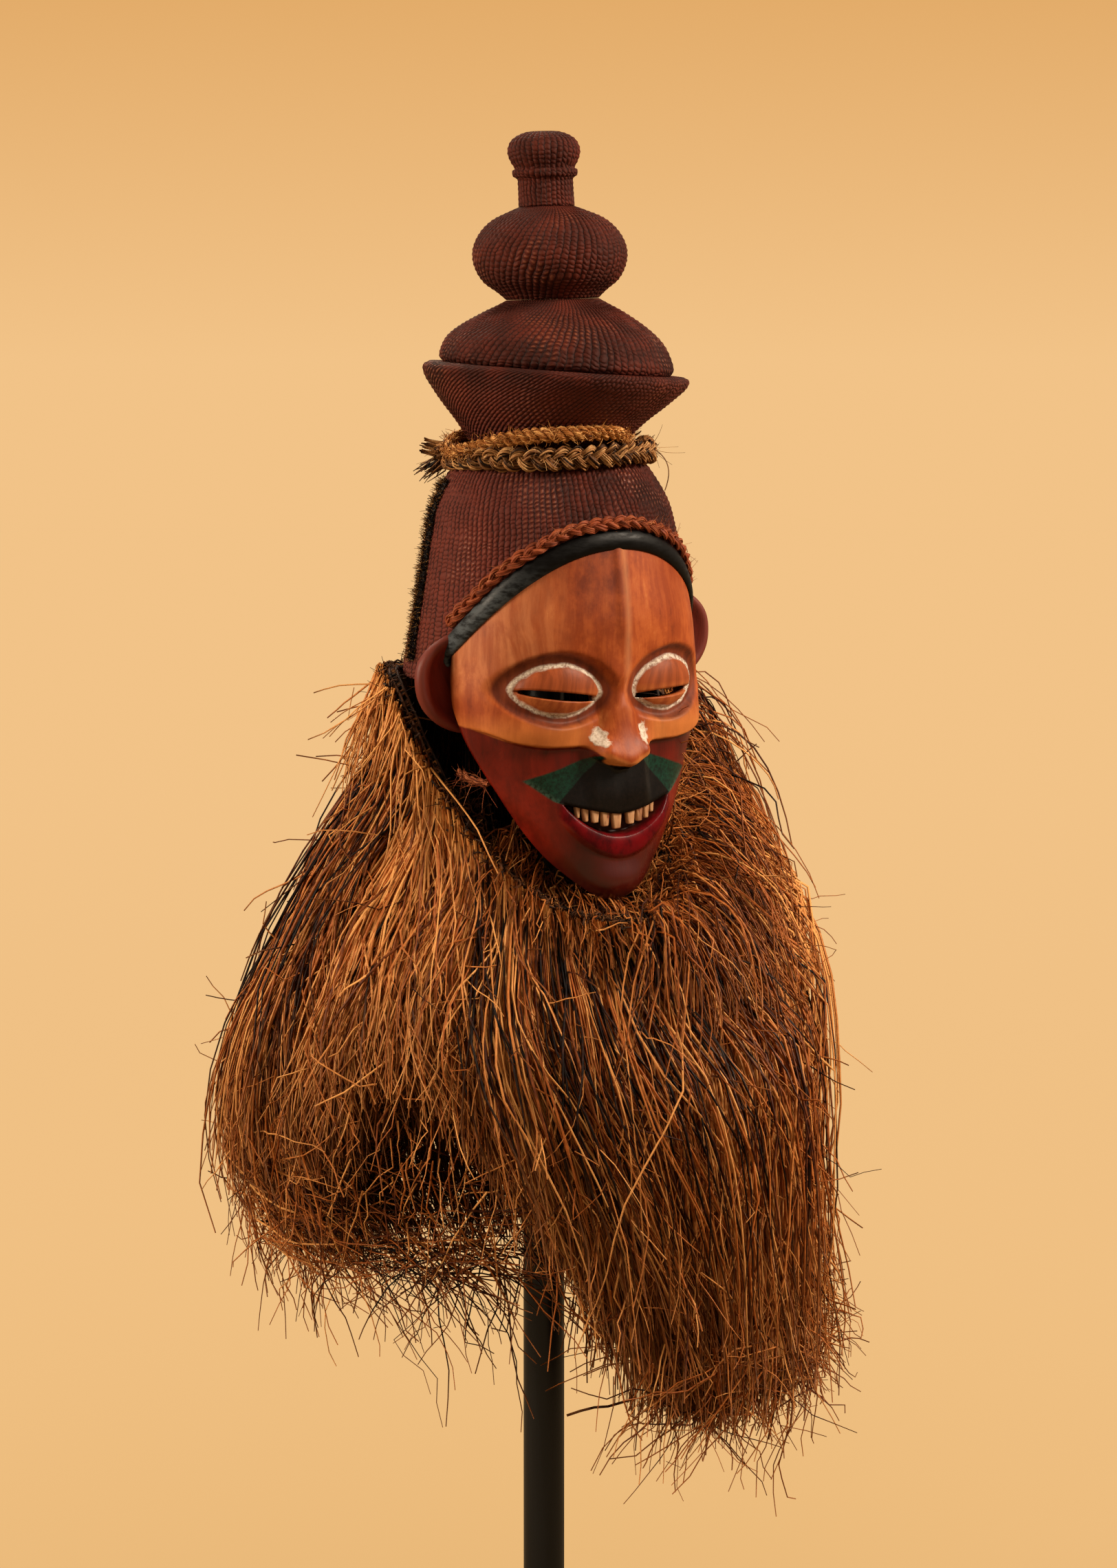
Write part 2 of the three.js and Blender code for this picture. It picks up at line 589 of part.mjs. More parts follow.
function place(parent, name, geometry, material) {
  const mesh = new THREE.Mesh(geometry, material);
  mesh.name = name;
  parent.add(mesh);
}

const mask = new THREE.Group();
place(mask, 'stand_foot', makeFoot(), painted);
place(mask, 'stand_post', makePost(), painted);

const head = new THREE.Group();
head.rotation.y = HEAD_ROLL * RAD;
head.position.set(HEAD_SHIFT, 0, HEAD_PIVOT_Z).sub(new THREE.Vector3(0, 0, HEAD_PIVOT_Z).applyEuler(head.rotation));
mask.add(head);

place(head, 'face', geometryOf(makeFace()), finish(0xa4501f, 0.45));
place(head, 'cap', geometryOf(makeCap()), netting);
place(head, 'brow_plait', makeBrowPlait(), finish(0xa04a1e, 0.7));
place(head, 'finial_bowl', makeTier(BOWL, STACK.crown, STACK.rim), netting);
place(head, 'finial_disc', makeTier(DISC, STACK.rim, STACK.dome), netting);
place(head, 'finial_ball', makeTier(BALL, STACK.dome, STACK.ball), netting);
place(head, 'finial_knob', makeTier(KNOB, STACK.ball, STACK.knob), netting);
place(head, 'tie_plait', geometryOf(makeTiePlait()), plaited);
place(head, 'tie_cord', makeTieCord(), plaited);
place(head, 'seam_strip', makeSeam(), finish(0x2a1a12, 0.9));
place(head, 'collar_band', geometryOf(collarBand(0)), plaited);
place(head, 'fringe', geometryOf(makeFringe()), finish(0x7a4a1e, 0.9));
place(head, 'lashing_left', makeLashing(-1), plaited);
place(head, 'lashing_right', makeLashing(1), plaited);

export default mask;
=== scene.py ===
# A painted wooden dance mask with a netted cap and finial over a raffia fringe, on a display post.
import math

import bmesh
import bpy
import numpy as np
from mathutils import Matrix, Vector


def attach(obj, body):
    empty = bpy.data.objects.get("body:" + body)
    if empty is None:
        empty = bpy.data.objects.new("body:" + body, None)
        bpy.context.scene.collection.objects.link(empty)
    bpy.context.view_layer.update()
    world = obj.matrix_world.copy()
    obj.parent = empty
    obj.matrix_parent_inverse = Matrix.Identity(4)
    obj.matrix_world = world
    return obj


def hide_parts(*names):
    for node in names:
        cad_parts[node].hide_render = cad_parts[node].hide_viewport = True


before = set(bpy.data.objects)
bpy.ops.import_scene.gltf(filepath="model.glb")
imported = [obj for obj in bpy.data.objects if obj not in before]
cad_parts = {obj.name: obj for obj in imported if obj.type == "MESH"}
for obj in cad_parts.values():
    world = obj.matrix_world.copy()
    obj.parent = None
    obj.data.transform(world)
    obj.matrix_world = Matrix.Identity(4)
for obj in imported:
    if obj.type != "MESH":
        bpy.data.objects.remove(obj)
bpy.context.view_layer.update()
scene = bpy.context.scene


# The studio: a long lens looks down a little on the mask from its right hand side, over a plain
# floor and before an ochre wall. A large soft light stands to each side of the camera and a weaker
# one behind the mask, in a warm room.
VIEW_TURN = -33.0
VIEW_RISE = 5.5
VIEW_DISTANCE = 3.2
LENS = 101.1
SENSOR_HEIGHT = 36
FAR_LIMIT = 100
AIM = Vector((0.0090, -0.0059, 0.730))

camera = bpy.data.objects.new("camera", bpy.data.cameras.new("camera"))
camera.data.sensor_fit = "VERTICAL"
camera.data.sensor_height = SENSOR_HEIGHT
camera.data.lens = LENS
camera.data.clip_end = FAR_LIMIT
camera.rotation_euler = (math.radians(90 - VIEW_RISE), 0, math.radians(VIEW_TURN))
camera.location = AIM + camera.rotation_euler.to_matrix() @ Vector((0, 0, VIEW_DISTANCE))
scene.collection.objects.link(camera)
scene.camera = camera


LAMP_AIM = Vector((0, 0, 0.8))


def soft_light(name, turn, rise, distance, size, watts, tint):
    lamp = bpy.data.lights.new(name, "AREA")
    lamp.shape = "SQUARE"
    lamp.size = size
    lamp.energy = watts
    lamp.color = tint
    stand = bpy.data.objects.new(name, lamp)
    stand.rotation_euler = (math.radians(90 - rise), 0, math.radians(turn))
    stand.location = LAMP_AIM + stand.rotation_euler.to_matrix() @ Vector((0, 0, distance))
    scene.collection.objects.link(stand)


soft_light("key", 43, 34, 2.4, 0.8, 84, (1, 0.85, 0.68))
soft_light("fill", -103, 22, 2.8, 1.1, 88, (1, 0.84, 0.65))
soft_light("back", 165, 45, 2.8, 1.4, 30, (1, 0.85, 0.68))
scene.view_settings.view_transform = "Standard"


class Wire:
    """A node's output in a formula. Each step of the formula adds a Math node to its tree."""

    def __init__(self, socket):
        self.socket = socket
        self.tree = socket.id_data

    def __add__(self, other):
        return calc("ADD", self, other)

    def __sub__(self, other):
        return calc("SUBTRACT", self, other)

    def __rsub__(self, other):
        return calc("SUBTRACT", other, self)

    def __mul__(self, other):
        return calc("MULTIPLY", self, other)

    def __truediv__(self, other):
        return calc("DIVIDE", self, other)

    def __rtruediv__(self, other):
        return calc("DIVIDE", other, self)

    def __pow__(self, other):
        return calc("POWER", self, other)

    def __abs__(self):
        return calc("ABSOLUTE", self)


def feed(node, name, value):
    """Links a wire to a node's input, or sets the input's plain value."""
    if isinstance(value, Wire):
        value.tree.links.new(value.socket, node.inputs[name])
    else:
        node.inputs[name].default_value = value


def wire(tree, kind, inputs=None, output=0, **settings):
    """A new node with its settings and inputs, and the wire that leaves it."""
    node = tree.nodes.new("ShaderNode" + kind)
    for key, value in settings.items():
        setattr(node, key, value)
    for key, value in (inputs or {}).items():
        feed(node, key, value)
    return Wire(node.outputs[output])


def calc(operation, *terms, clamp=False):
    tree = next(term.tree for term in terms if isinstance(term, Wire))
    return wire(tree, "Math", dict(enumerate(terms)), operation=operation, use_clamp=clamp)


def axis(vector, number):
    return wire(vector.tree, "SeparateXYZ", {0: vector}, number)


def blend(share, first, second):
    """The second colour over the first, as far as the share says."""
    return wire(share.tree, "Mix", {0: share, 6: first, 7: second}, 2, data_type="RGBA")


BACKDROP = (0.885, 0.545, 0.245, 1)
BACKDROP_TOP = (0.76, 0.405, 0.138, 1)
ROOM_LIGHT = (1.0, 0.78, 0.56, 1)
ROOM_STRENGTH = 0.38
WALL_TOP = -0.085
room = bpy.data.worlds.new("room")
room.use_nodes = True
tree = room.node_tree
lit = tree.nodes["Background"]
feed(lit, "Color", ROOM_LIGHT)
feed(lit, "Strength", ROOM_STRENGTH)
looking_down = axis(wire(tree, "NewGeometry", output="Incoming"), "Z")
height_share = wire(tree, "MapRange", {"Value": looking_down, "From Max": WALL_TOP})
seen = wire(tree, "Background", {"Color": blend(height_share, BACKDROP, BACKDROP_TOP)})
seen_straight = wire(tree, "LightPath", output="Is Camera Ray")
chosen = wire(tree, "MixShader", {0: seen_straight, 1: Wire(lit.outputs[0]), 2: seen})
feed(tree.nodes["World Output"], "Surface", chosen)
scene.world = room


def new_finish(name, **plain):
    """A material with only its shader, and the values that are the same all over."""
    finish = bpy.data.materials.new(name)
    finish.use_nodes = True
    shader = finish.node_tree.nodes["Principled BSDF"]
    for socket, value in plain.items():
        feed(shader, socket.replace("_", " "), value)
    return finish, finish.node_tree, shader


FLOOR_RADIUS = 24
FLOOR_PAPER = (0.10, 0.085, 0.065, 1)
NEAR_GLOW = (0.60, 0.325, 0.092, 1)
floor_finish, tree, shader = new_finish("floor_paper", Roughness=1.0, Specular_IOR_Level=0.0)
feed(shader, "Base Color", FLOOR_PAPER)
glow = [seen_part - paper * ROOM_STRENGTH * light
        for seen_part, paper, light in zip(BACKDROP, FLOOR_PAPER, ROOM_LIGHT)]
floor_at = wire(tree, "NewGeometry", output="Position")
floor_reach = wire(tree, "VectorMath", {0: floor_at}, output="Value", operation="LENGTH")
near_share = calc("POWER", 2.7, floor_reach * -0.5)
floor_glow = blend(near_share, (*glow[:3], 1), NEAR_GLOW)
feed(shader, "Emission Color", floor_glow)
seen_straight = wire(tree, "LightPath", output="Is Camera Ray")
feed(shader, "Emission Strength", seen_straight * 0.65 + 0.35)
work = bmesh.new()
bmesh.ops.create_circle(work, cap_ends=True, segments=96, radius=FLOOR_RADIUS)
floor_mesh = bpy.data.meshes.new("floor")
work.to_mesh(floor_mesh)
work.free()
floor = bpy.data.objects.new("floor", floor_mesh)
floor.data.materials.append(floor_finish)
scene.collection.objects.link(floor)


# The stand: a steel disc and a 30 mm bar, painted satin black. Both are turned forms, and a fine
# rounded edge catches the light. The paint has a few rubbed streaks along the bar.
FOOT_RADIUS = 0.150
FOOT_THICKNESS = 0.012
FOOT_ROUNDING = 0.002
FOOT_CHAMFER = 0.001
POST_RADIUS = 0.015
POST_BASE = 0.0123
POST_TOP = 0.960
POST_ROUNDING = 0.003
FOOT_SIDES = 128
POST_SIDES = 64
SHARP_FROM = math.radians(50)


def linear(code):
    """A colour written as six hex digits, as the shader wants it."""
    parts = [int(code[i:i + 2], 16) / 255 for i in (0, 2, 4)]
    return (*[p / 12.92 if p <= 0.04045 else ((p + 0.055) / 1.055) ** 2.4 for p in parts], 1)


def ramp(value, *stops, smooth=True):
    """A value turned into a colour by stops of place and colour."""
    turned = wire(value.tree, "ValToRGB", {0: value})
    colours = turned.socket.node.color_ramp
    colours.interpolation = "EASE" if smooth else "LINEAR"
    while len(colours.elements) < len(stops):
        colours.elements.new(0.5)
    for element, (place, colour) in zip(colours.elements, stops):
        element.position = place
        element.color = linear(colour) if isinstance(colour, str) else (colour, colour, colour, 1)
    return turned


def noise(at, scale, detail=3, stretch=(1, 1, 1), roughness=0.55):
    squeezed = wire(at.tree, "Mapping", {0: at, 3: stretch}, vector_type="POINT")
    return wire(at.tree, "TexNoise", {"Vector": squeezed, "Scale": scale, "Detail": detail,
                                      "Roughness": roughness}, "Fac")


def bump(height, strength, distance):
    return wire(height.tree, "Bump", {"Height": height, "Strength": strength, "Distance": distance})


paint, tree, shader = new_finish("satin_black_paint", Specular_IOR_Level=0.35)
place_of = wire(tree, "TexCoord", output="Object")
streak = noise(place_of, 60, 4, (1, 1, 0.05))
speck = noise(place_of, 420, 2)
feed(shader, "Base Color", ramp(streak, (0.3, "090909"), (0.75, "141414")))
feed(shader, "Roughness", ramp(streak, (0.2, 0.3), (0.8, 0.46)))
feed(shader, "Normal", bump(speck, 0.12, 0.0004))


def finish_piece(name, work, finish, replaced=()):
    """Makes an object of a worked mesh, gives it its finish and hangs it on the model."""
    mesh = bpy.data.meshes.new(name)
    work.to_mesh(mesh)
    work.free()
    return hang_piece(name, mesh, finish, replaced)


def hang_piece(name, mesh, finish, replaced=()):
    """An object of a mesh, shaded smooth, that rides on the model in place of its solids."""
    made = bpy.data.objects.new(name, mesh)
    scene.collection.objects.link(made)
    mesh.materials.clear()
    mesh.materials.append(finish)
    mesh.polygons.foreach_set("use_smooth", np.full(len(mesh.polygons), True))
    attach(made, "root")
    if replaced:
        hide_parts(*replaced)
    return made


def turned_form(profile, sides):
    """A profile of radius and height points spun round the upright axis."""
    work = bmesh.new()
    points = [work.verts.new((r, 0, z)) for r, z in profile]
    edges = [work.edges.new(pair) for pair in zip(points, points[1:])]
    bmesh.ops.spin(work, geom=points + edges, cent=(0, 0, 0), axis=(0, 0, 1), dvec=(0, 0, 0),
                   angle=math.tau, steps=sides, use_merge=True)
    bmesh.ops.remove_doubles(work, verts=work.verts, dist=1e-6)
    bmesh.ops.recalc_face_normals(work, faces=work.faces)
    return work


def rounded_corner(radius, height, rounding):
    """The upper outer corner of a turned form, as radius and height points."""
    turns = [math.radians(a) for a in range(0, 91, 15)]
    return [(radius - rounding + rounding * math.cos(a), height - rounding + rounding * math.sin(a))
            for a in turns]


foot_profile = [(0, 0), (FOOT_RADIUS - FOOT_CHAMFER, 0), (FOOT_RADIUS, FOOT_CHAMFER)]
foot_profile += rounded_corner(FOOT_RADIUS, FOOT_THICKNESS, FOOT_ROUNDING) + [(0, FOOT_THICKNESS)]
foot = finish_piece("stand_disc", turned_form(foot_profile, FOOT_SIDES), paint, ["stand_foot"])
post_profile = [(0, POST_BASE), (POST_RADIUS, POST_BASE)]
post_profile += rounded_corner(POST_RADIUS, POST_TOP, POST_ROUNDING) + [(0, POST_TOP)]
post = finish_piece("stand_bar", turned_form(post_profile, POST_SIDES), paint, ["stand_post"])
for piece in (foot, post):
    piece.data.set_sharp_from_angle(angle=SHARP_FROM)


# The wooden face: one carved piece, 9 mm thick, that reaches from the brow arch to the chin and
# back to the ears. It is cut through at the eyes, hollowed at the mouth, and painted by hand:
# tan above, blood red below, chalk round the eyes, a black and green moustache, crimson lips.
HEAD_SHIFT = 4.0
HEAD_ROLL = math.radians(-1.8)
HEAD_PIVOT_Z = 800.0
WIDEST = 10.0
WOOD_WALL = 9.0
BROW_Z = 917.0
TEMPLE_Z = 838.0
EYE_X = 45.5
EYE_Z = 805.6
EYE_TILT = 0.05
EYE_HALF = 31.0
EYE_UP = 19.0
EYE_DOWN = 17.5
EYE_POWER = 1.72
SLIT_HALF = 30.0
MOUTH_HALF = 46.0


def curve_through(rows):
    """A smooth curve through rows of place and value, flat beyond its ends."""
    at, value = np.array(rows, float).T
    before = np.maximum(np.arange(len(at)) - 1, 0)
    after = np.minimum(np.arange(len(at)) + 1, len(at) - 1)
    slope = (value[after] - value[before]) / (at[after] - at[before])

    def curve(x):
        x = np.clip(np.asarray(x, float), at[0], at[-1])
        i = np.clip(np.searchsorted(at, x, side="right") - 1, 0, len(at) - 2)
        span = at[i + 1] - at[i]
        t = (x - at[i]) / span
        between = (2 * t**3 - 3 * t**2 + 1) * value[i] + (3 * t**2 - 2 * t**3) * value[i + 1]
        return between + span * ((t**3 - 2 * t**2 + t) * slope[i] + (t**3 - t**2) * slope[i + 1])

    return curve


half_width = curve_through([
    (653, 8), (656, 20), (663, 34), (681, 50.5), (708, 66), (737, 84), (754, 91.5), (774, 98),
    (800, 100.5), (830, 98.5), (850, 97), (884, 93), (915, 88), (935, 84), (956, 73), (970, 62)])
front = curve_through([
    (653, 80), (656, 85), (664, 88.5), (684, 90), (712, 90), (742, 90), (772, 90.5), (808, 93),
    (850, 99), (884, 97), (918, 92), (935, 87), (956, 76), (970, 67)])
back = curve_through([
    (800, 97), (830, 94), (850, 89), (884, 81), (911, 79), (935, 74), (956, 64), (970, 54)])
squareness = curve_through([
    (653, 2.6), (706, 3.2), (750, 3.1), (800, 2.75), (870, 2.35), (960, 2.05)])
rim_reach = curve_through([
    (652, 76), (656, 79), (663, 77.5), (684, 65), (704, 56), (720, 52), (737, 49), (758, 43), (780, 35),
    (800, 28), (838, 28), (862, 42), (889, 64), (907, 82), (914, 90), (917, 95)])


def head_point(degrees, z, inset=0.0):
    """A point of the head at an angle from straight ahead and a height, in millimetres."""
    turn = np.radians(degrees)
    s, c = np.sin(turn), np.cos(turn)
    reach = np.where(c >= 0, front(z) - WIDEST, back(z) + WIDEST) - inset
    power = 2 / squareness(z)
    x = np.maximum(half_width(z) - inset, 1) * np.sign(s) * np.abs(s) ** power
    depth = WIDEST + np.maximum(reach, 1) * np.sign(c) * np.abs(c) ** power
    return np.stack([x, -depth, np.broadcast_to(z, x.shape)], -1)


def unit(vectors):
    return vectors / np.maximum(np.linalg.norm(vectors, axis=-1, keepdims=True), 1e-9)


def head_normal(degrees, z):
    around = head_point(degrees + 1, z) - head_point(degrees - 1, z)
    upward = head_point(degrees, z + 1) - head_point(degrees, z - 1)
    return unit(np.cross(around, upward))


def hung(points):
    """Head millimetres to metres in the model's frame: the mask leans a little on its post."""
    p = np.asarray(points, float)
    sine, cosine = math.sin(HEAD_ROLL), math.cos(HEAD_ROLL)
    above = p[..., 2] - HEAD_PIVOT_Z
    x = p[..., 0] * cosine + above * sine + HEAD_SHIFT
    z = above * cosine - p[..., 0] * sine + HEAD_PIVOT_Z
    return np.stack([x, p[..., 1], z], -1) / 1000


def step(low, high, value):
    t = np.clip((np.asarray(value, float) - low) / (high - low), 0, 1)
    return t * t * (3 - 2 * t)


def bell(distance):
    return np.exp(-np.square(distance))


def eye_metric(x, z):
    """1 on the almond outline of an eye, less inside, more outside."""
    across = np.abs(x) - EYE_X
    rise = z - EYE_Z - EYE_TILT * across
    tall = np.where(rise > 0, EYE_UP, EYE_DOWN)
    parts = (np.abs(across) / EYE_HALF) ** EYE_POWER + (np.abs(rise) / tall) ** EYE_POWER
    return parts ** (1 / EYE_POWER)


def mouth_upper(x):
    return 716 + 10.5 * (np.abs(x) / 47) ** 1.35


def mouth_lower(x):
    return 700 + 25.5 * (np.abs(x) / MOUTH_HALF) ** 2.1


def lip_low(x):
    return 686 + 28 * (np.abs(x) / 45) ** 2


nose_rise = curve_through([
    (748, 13), (756, 14.5), (764, 13), (780, 9), (803, 6), (820, 3.6), (842, 0.8), (860, 0)])
nose_half = curve_through([
    (750, 17), (758, 18.5), (770, 15), (785, 12), (803, 12), (820, 14), (845, 22)])
border_z = curve_through([
    (0, 750), (8, 751), (15, 754), (21, 760), (27, 765), (38, 766), (56, 766.5), (76, 770.5),
    (91, 778), (100, 783)])


def relief(x, z):
    """Height of the carving over the plain form of the face."""
    side = np.abs(x)
    base = 748.2 + 0.46 * np.minimum(side, 21)
    nose_end = step(base - 1.6, base + 1.6, z)
    ridge = nose_rise(z) * np.maximum(0, 1 - (side / (nose_half(z) + 4)) ** 2.4) * nose_end
    wing = 8.0 * bell(np.hypot((side - 17.5) / 7.0, (z - 763) / 8.5)) * nose_end
    tip = 2.2 * bell(np.hypot(side / 9, (z - 757) / 8)) * nose_end
    r = eye_metric(x, z)
    ball = 7.6 * np.maximum(0, 1 - r * r) ** 0.6
    groove = -4.8 * (1 - step(1.25, 1.55, r))
    below = border_z(side)
    under = -4.2 * (1 - step(below - 2.2, below + 1.2, z)) * step(20, 30, side) * step(704, 748, z)
    cheek = 2.2 * bell(np.hypot((side - 62) / 26, (z - 777) / 10))
    upper_lip = (3.4 * bell(np.hypot(side / 34, (z - 728) / 20)) - 1.0 * bell(side / 2.2)
                 * bell((z - 734) / 16))
    middle = (lip_low(side) + mouth_lower(side)) / 2
    half = np.maximum((mouth_lower(side) - lip_low(side)) / 2, 1)
    lip = 3.7 * np.maximum(0, 1 - ((z - middle) / (half + 2.5)) ** 2) ** 0.7 * (1 - step(34, 52, side))
    chin = 3.2 * bell(np.hypot(side / 26, (z - 668) / 11))
    keel = 1.3 * bell(side / 4) * step(826, 856, z) + 0.8 * bell(side / 16) * step(826, 856, z)
    return ridge + wing + tip + ball + groove + under + cheek + upper_lip + lip + chin + keel


def rim_degrees(z):
    share = np.clip((rim_reach(z) - WIDEST) / (front(z) - WIDEST), 0, 1)
    return np.degrees(np.arccos(share ** (squareness(z) / 2)))


FACE_LOW = 653.2
FACE_TOP = 916.2
FACE_COLUMNS = 168
INNER_COLUMNS = 56
# Rows of the carving follow what is carved: chin, lip, mouth, nose, the two edges of the slits.
FACE_ROWS = [(0, 0), (22, 1), (33, 2), (45, 3), (68, 4), (106, 5), (107, 6), (172, 7)]
INNER_ROWS = [(0, 0), (4, 1), (6, 2), (8, 3), (12, 4), (18, 5), (19, 6), (32, 7)]


def slit_middle(x):
    left = 802.6 + 0.14 * (np.abs(x) - EYE_X)
    right = 799.6 + 0.03 * (np.abs(x) - EYE_X)
    return np.where(x < 0, left, right)


def slit_half_height(x):
    t = np.clip(np.abs(np.abs(x) - EYE_X) / SLIT_HALF, 0, 1)
    return 0.7 + 2.5 * (1 - t * t) ** 0.5


def feature_heights(x):
    """Heights of the rows that follow a feature, at a distance from the middle line."""
    side = np.minimum(np.abs(x), 90)
    open_part = 1 - step(MOUTH_HALF - 1.5, MOUTH_HALF + 1.5, side)
    corner = 725.5 - 6 * step(MOUTH_HALF, 80, side)
    upper = mouth_upper(side) * open_part + (corner + 0.8) * (1 - open_part)
    lower = mouth_lower(side) * open_part + (corner - 0.8) * (1 - open_part)
    lip = np.minimum(lip_low(side), 700 + 0.12 * side)
    nose = 752 + 12 * step(10, 30, side)
    middle = slit_middle(x)
    half = slit_half_height(x)
    low = np.full_like(middle, FACE_LOW)
    top = np.full_like(middle, FACE_TOP)
    return np.stack([low, np.minimum(lip, lower - 3), np.minimum(lower, upper - 1.2), upper, nose,
                     middle - half, middle + half, top], 0)


def face_heights(row, x, rows):
    """Height of a grid row where it passes a distance from the middle line."""
    marks = feature_heights(x)
    places = np.array([place for place, _ in rows], float)
    i = np.clip(np.searchsorted(places, row, side="right") - 1, 0, len(places) - 2)
    t = (row - places[i]) / (places[i + 1] - places[i])
    take = lambda k: np.take_along_axis(marks, k[None], 0)[0]
    return take(i) * (1 - t) + take(i + 1) * t


def face_surface(across, row, rows, inset):
    """Points of the face from a grid place: across runs from one rim to the other."""
    turn = 0.72 * across + 0.28 * across**3
    z = np.full_like(across, 790.0)
    for _ in range(12):
        point = head_point(turn * rim_degrees(z), z, inset)
        wanted = face_heights(row, point[..., 0] * (1 + inset / 100), rows)
        z = z + 0.7 * (wanted - z)
    degrees = turn * rim_degrees(z)
    return degrees, z


def mouth_recess(x, z):
    side = np.abs(x)
    inside = step(0, 1.4, mouth_upper(side) - z) * step(0, 2.6, z - mouth_lower(side))
    return 8.0 * inside * (1 - step(MOUTH_HALF - 7, MOUTH_HALF, side))


def grid_sheet(columns, rows, flip=False):
    """A square sheet with its vertices' places in columns and rows."""
    sheet = bmesh.new()
    bmesh.ops.create_grid(sheet, x_segments=columns, y_segments=rows, size=1)
    uv = np.array([v.co[:2] for v in sheet.verts])
    if flip:
        bmesh.ops.reverse_faces(sheet, faces=sheet.faces)
    return sheet, uv[:, 0], (uv[:, 1] + 1) / 2 * rows


def set_places(work, points):
    for vertex, place in zip(work.verts, points):
        vertex.co = place


def open_loops(work):
    """The boundary loops of a mesh, longest first, each as a list of edges."""
    left = {e for e in work.edges if e.is_boundary}
    loops = []
    while left:
        loop = [left.pop()]
        ends = list(loop[0].verts)
        while ends:
            vertex = ends.pop()
            for edge in vertex.link_edges:
                if edge in left:
                    left.discard(edge)
                    loop.append(edge)
                    ends.append(edge.other_vert(vertex))
        loops.append(loop)
    return sorted(loops, key=len, reverse=True)


def loop_middle(loop):
    return sum((v.co for e in loop for v in e.verts), Vector()) / (2 * len(loop))


def face_sheet(columns, rows, inset):
    sheet, across, row = grid_sheet(columns, rows[-1][0], flip=inset > 0)
    degrees, z = face_surface(across, row, rows, inset)
    point = head_point(degrees, z, inset)
    if inset == 0:
        x = point[:, 0]
        fade = 1 - step(-62, -40, point[:, 1])
        raised = relief(x, z) * fade - mouth_recess(x, z)
        point = point + head_normal(degrees, z) * raised[:, None]
    set_places(sheet, hung(point))
    slit_low = next(place for place, mark in rows if mark == 5)
    sheet.verts.ensure_lookup_table()
    cut = []
    for face in sheet.faces:
        k = [v.index for v in face.verts]
        if abs(row[k].mean() - slit_low - 0.5) < 0.1:
            if np.all(np.abs(np.abs(point[k, 0] * (1 + inset / 100)) - EYE_X) < SLIT_HALF):
                cut.append(face)
    bmesh.ops.delete(sheet, geom=cut, context="FACES")
    return sheet


def join_sheets(first, second):
    """Adds a sheet to another and closes each pair of openings that face each other."""
    spare = bpy.data.meshes.new("spare")
    second.to_mesh(spare)
    first.from_mesh(spare)
    bpy.data.meshes.remove(spare)
    second.free()
    loops = open_loops(first)
    while loops:
        loop = loops.pop(0)
        middle = loop_middle(loop)
        partner = min(loops, key=lambda other: (loop_middle(other) - middle).length
                      + 0.0001 * abs(len(other) - len(loop)))
        loops.remove(partner)
        bmesh.ops.bridge_loops(first, edges=loop + partner)


face = face_sheet(FACE_COLUMNS, FACE_ROWS, 0)
join_sheets(face, face_sheet(INNER_COLUMNS, INNER_ROWS, WOOD_WALL))
bmesh.ops.recalc_face_normals(face, faces=face.faces)


def mask_place(tree):
    """The object's place, then the upright mask's signed side, height and side in millimetres."""
    at = wire(tree, "TexCoord", output="Object")
    turned = wire(tree, "Mapping", {0: at, 2: (0, -HEAD_ROLL, 0)}, vector_type="POINT")
    sine, cosine = math.sin(HEAD_ROLL), math.cos(HEAD_ROLL)
    x = axis(turned, "X") * 1000.0 + (HEAD_PIVOT_Z * sine - HEAD_SHIFT * cosine)
    z = axis(turned, "Z") * 1000.0 + (HEAD_PIVOT_Z * (1 - cosine) - HEAD_SHIFT * sine)
    return at, x, z, abs(x)


def drawn_curve(x, low, high, curve, count=13):
    """A curve of millimetres over millimetres as a node."""
    drawn = wire(x.tree, "FloatCurve", {"Value": (x - low) / (high - low)})
    places = np.linspace(low, high, count)
    values = curve(places)
    bottom, span = values.min() - 1, np.ptp(values) + 2
    mapping = drawn.socket.node.mapping
    points = mapping.curves[0].points
    while len(points) < count:
        points.new(0.5, 0.5)
    for point, place, value in zip(points, places, values):
        point.location = ((place - low) / (high - low), (value - bottom) / span)
    mapping.update()
    return drawn * float(span) + float(bottom)


def edge(distance, soft):
    """1 where a distance in millimetres is below zero, with a soft change."""
    limits = {"Value": distance, "From Min": soft, "From Max": -soft}
    return wire(distance.tree, "MapRange", limits, clamp=True)


GRAIN_PARTS = ("Streaks", "Blotches", "Pores")


def wood_grain_group():
    """Upright grain, blotches and a fine pore relief of carved and stained wood."""
    group = bpy.data.node_groups.new("wood_grain", "ShaderNodeTree")
    socket = group.interface.new_socket
    socket("Place", in_out="INPUT", socket_type="NodeSocketVector")
    for name in GRAIN_PARTS:
        socket(name, in_out="OUTPUT", socket_type="NodeSocketFloat")
    place = Wire(group.nodes.new("NodeGroupInput").outputs[0])
    out = group.nodes.new("NodeGroupOutput")
    swirl = wire(group, "CombineXYZ", {0: noise(place, 9, 2) * 0.05})
    swirl = wire(group, "VectorMath", {0: place, 1: swirl}, operation="ADD")
    feed(out, "Streaks", noise(swirl, 150, 6, (1, 1, 0.06), 0.65))
    feed(out, "Blotches", noise(swirl, 24, 4, (1, 1, 0.45)))
    feed(out, "Pores", noise(swirl, 900, 3, (1, 1, 0.08), 0.7))
    return group


wood_grain = wood_grain_group()


def grain_at(at):
    """The streaks, blotches and pores of the wood at a place."""
    node = wire(at.tree, "Group", {"Place": at}, node_tree=wood_grain).socket.node
    return [Wire(node.outputs[name]) for name in GRAIN_PARTS]


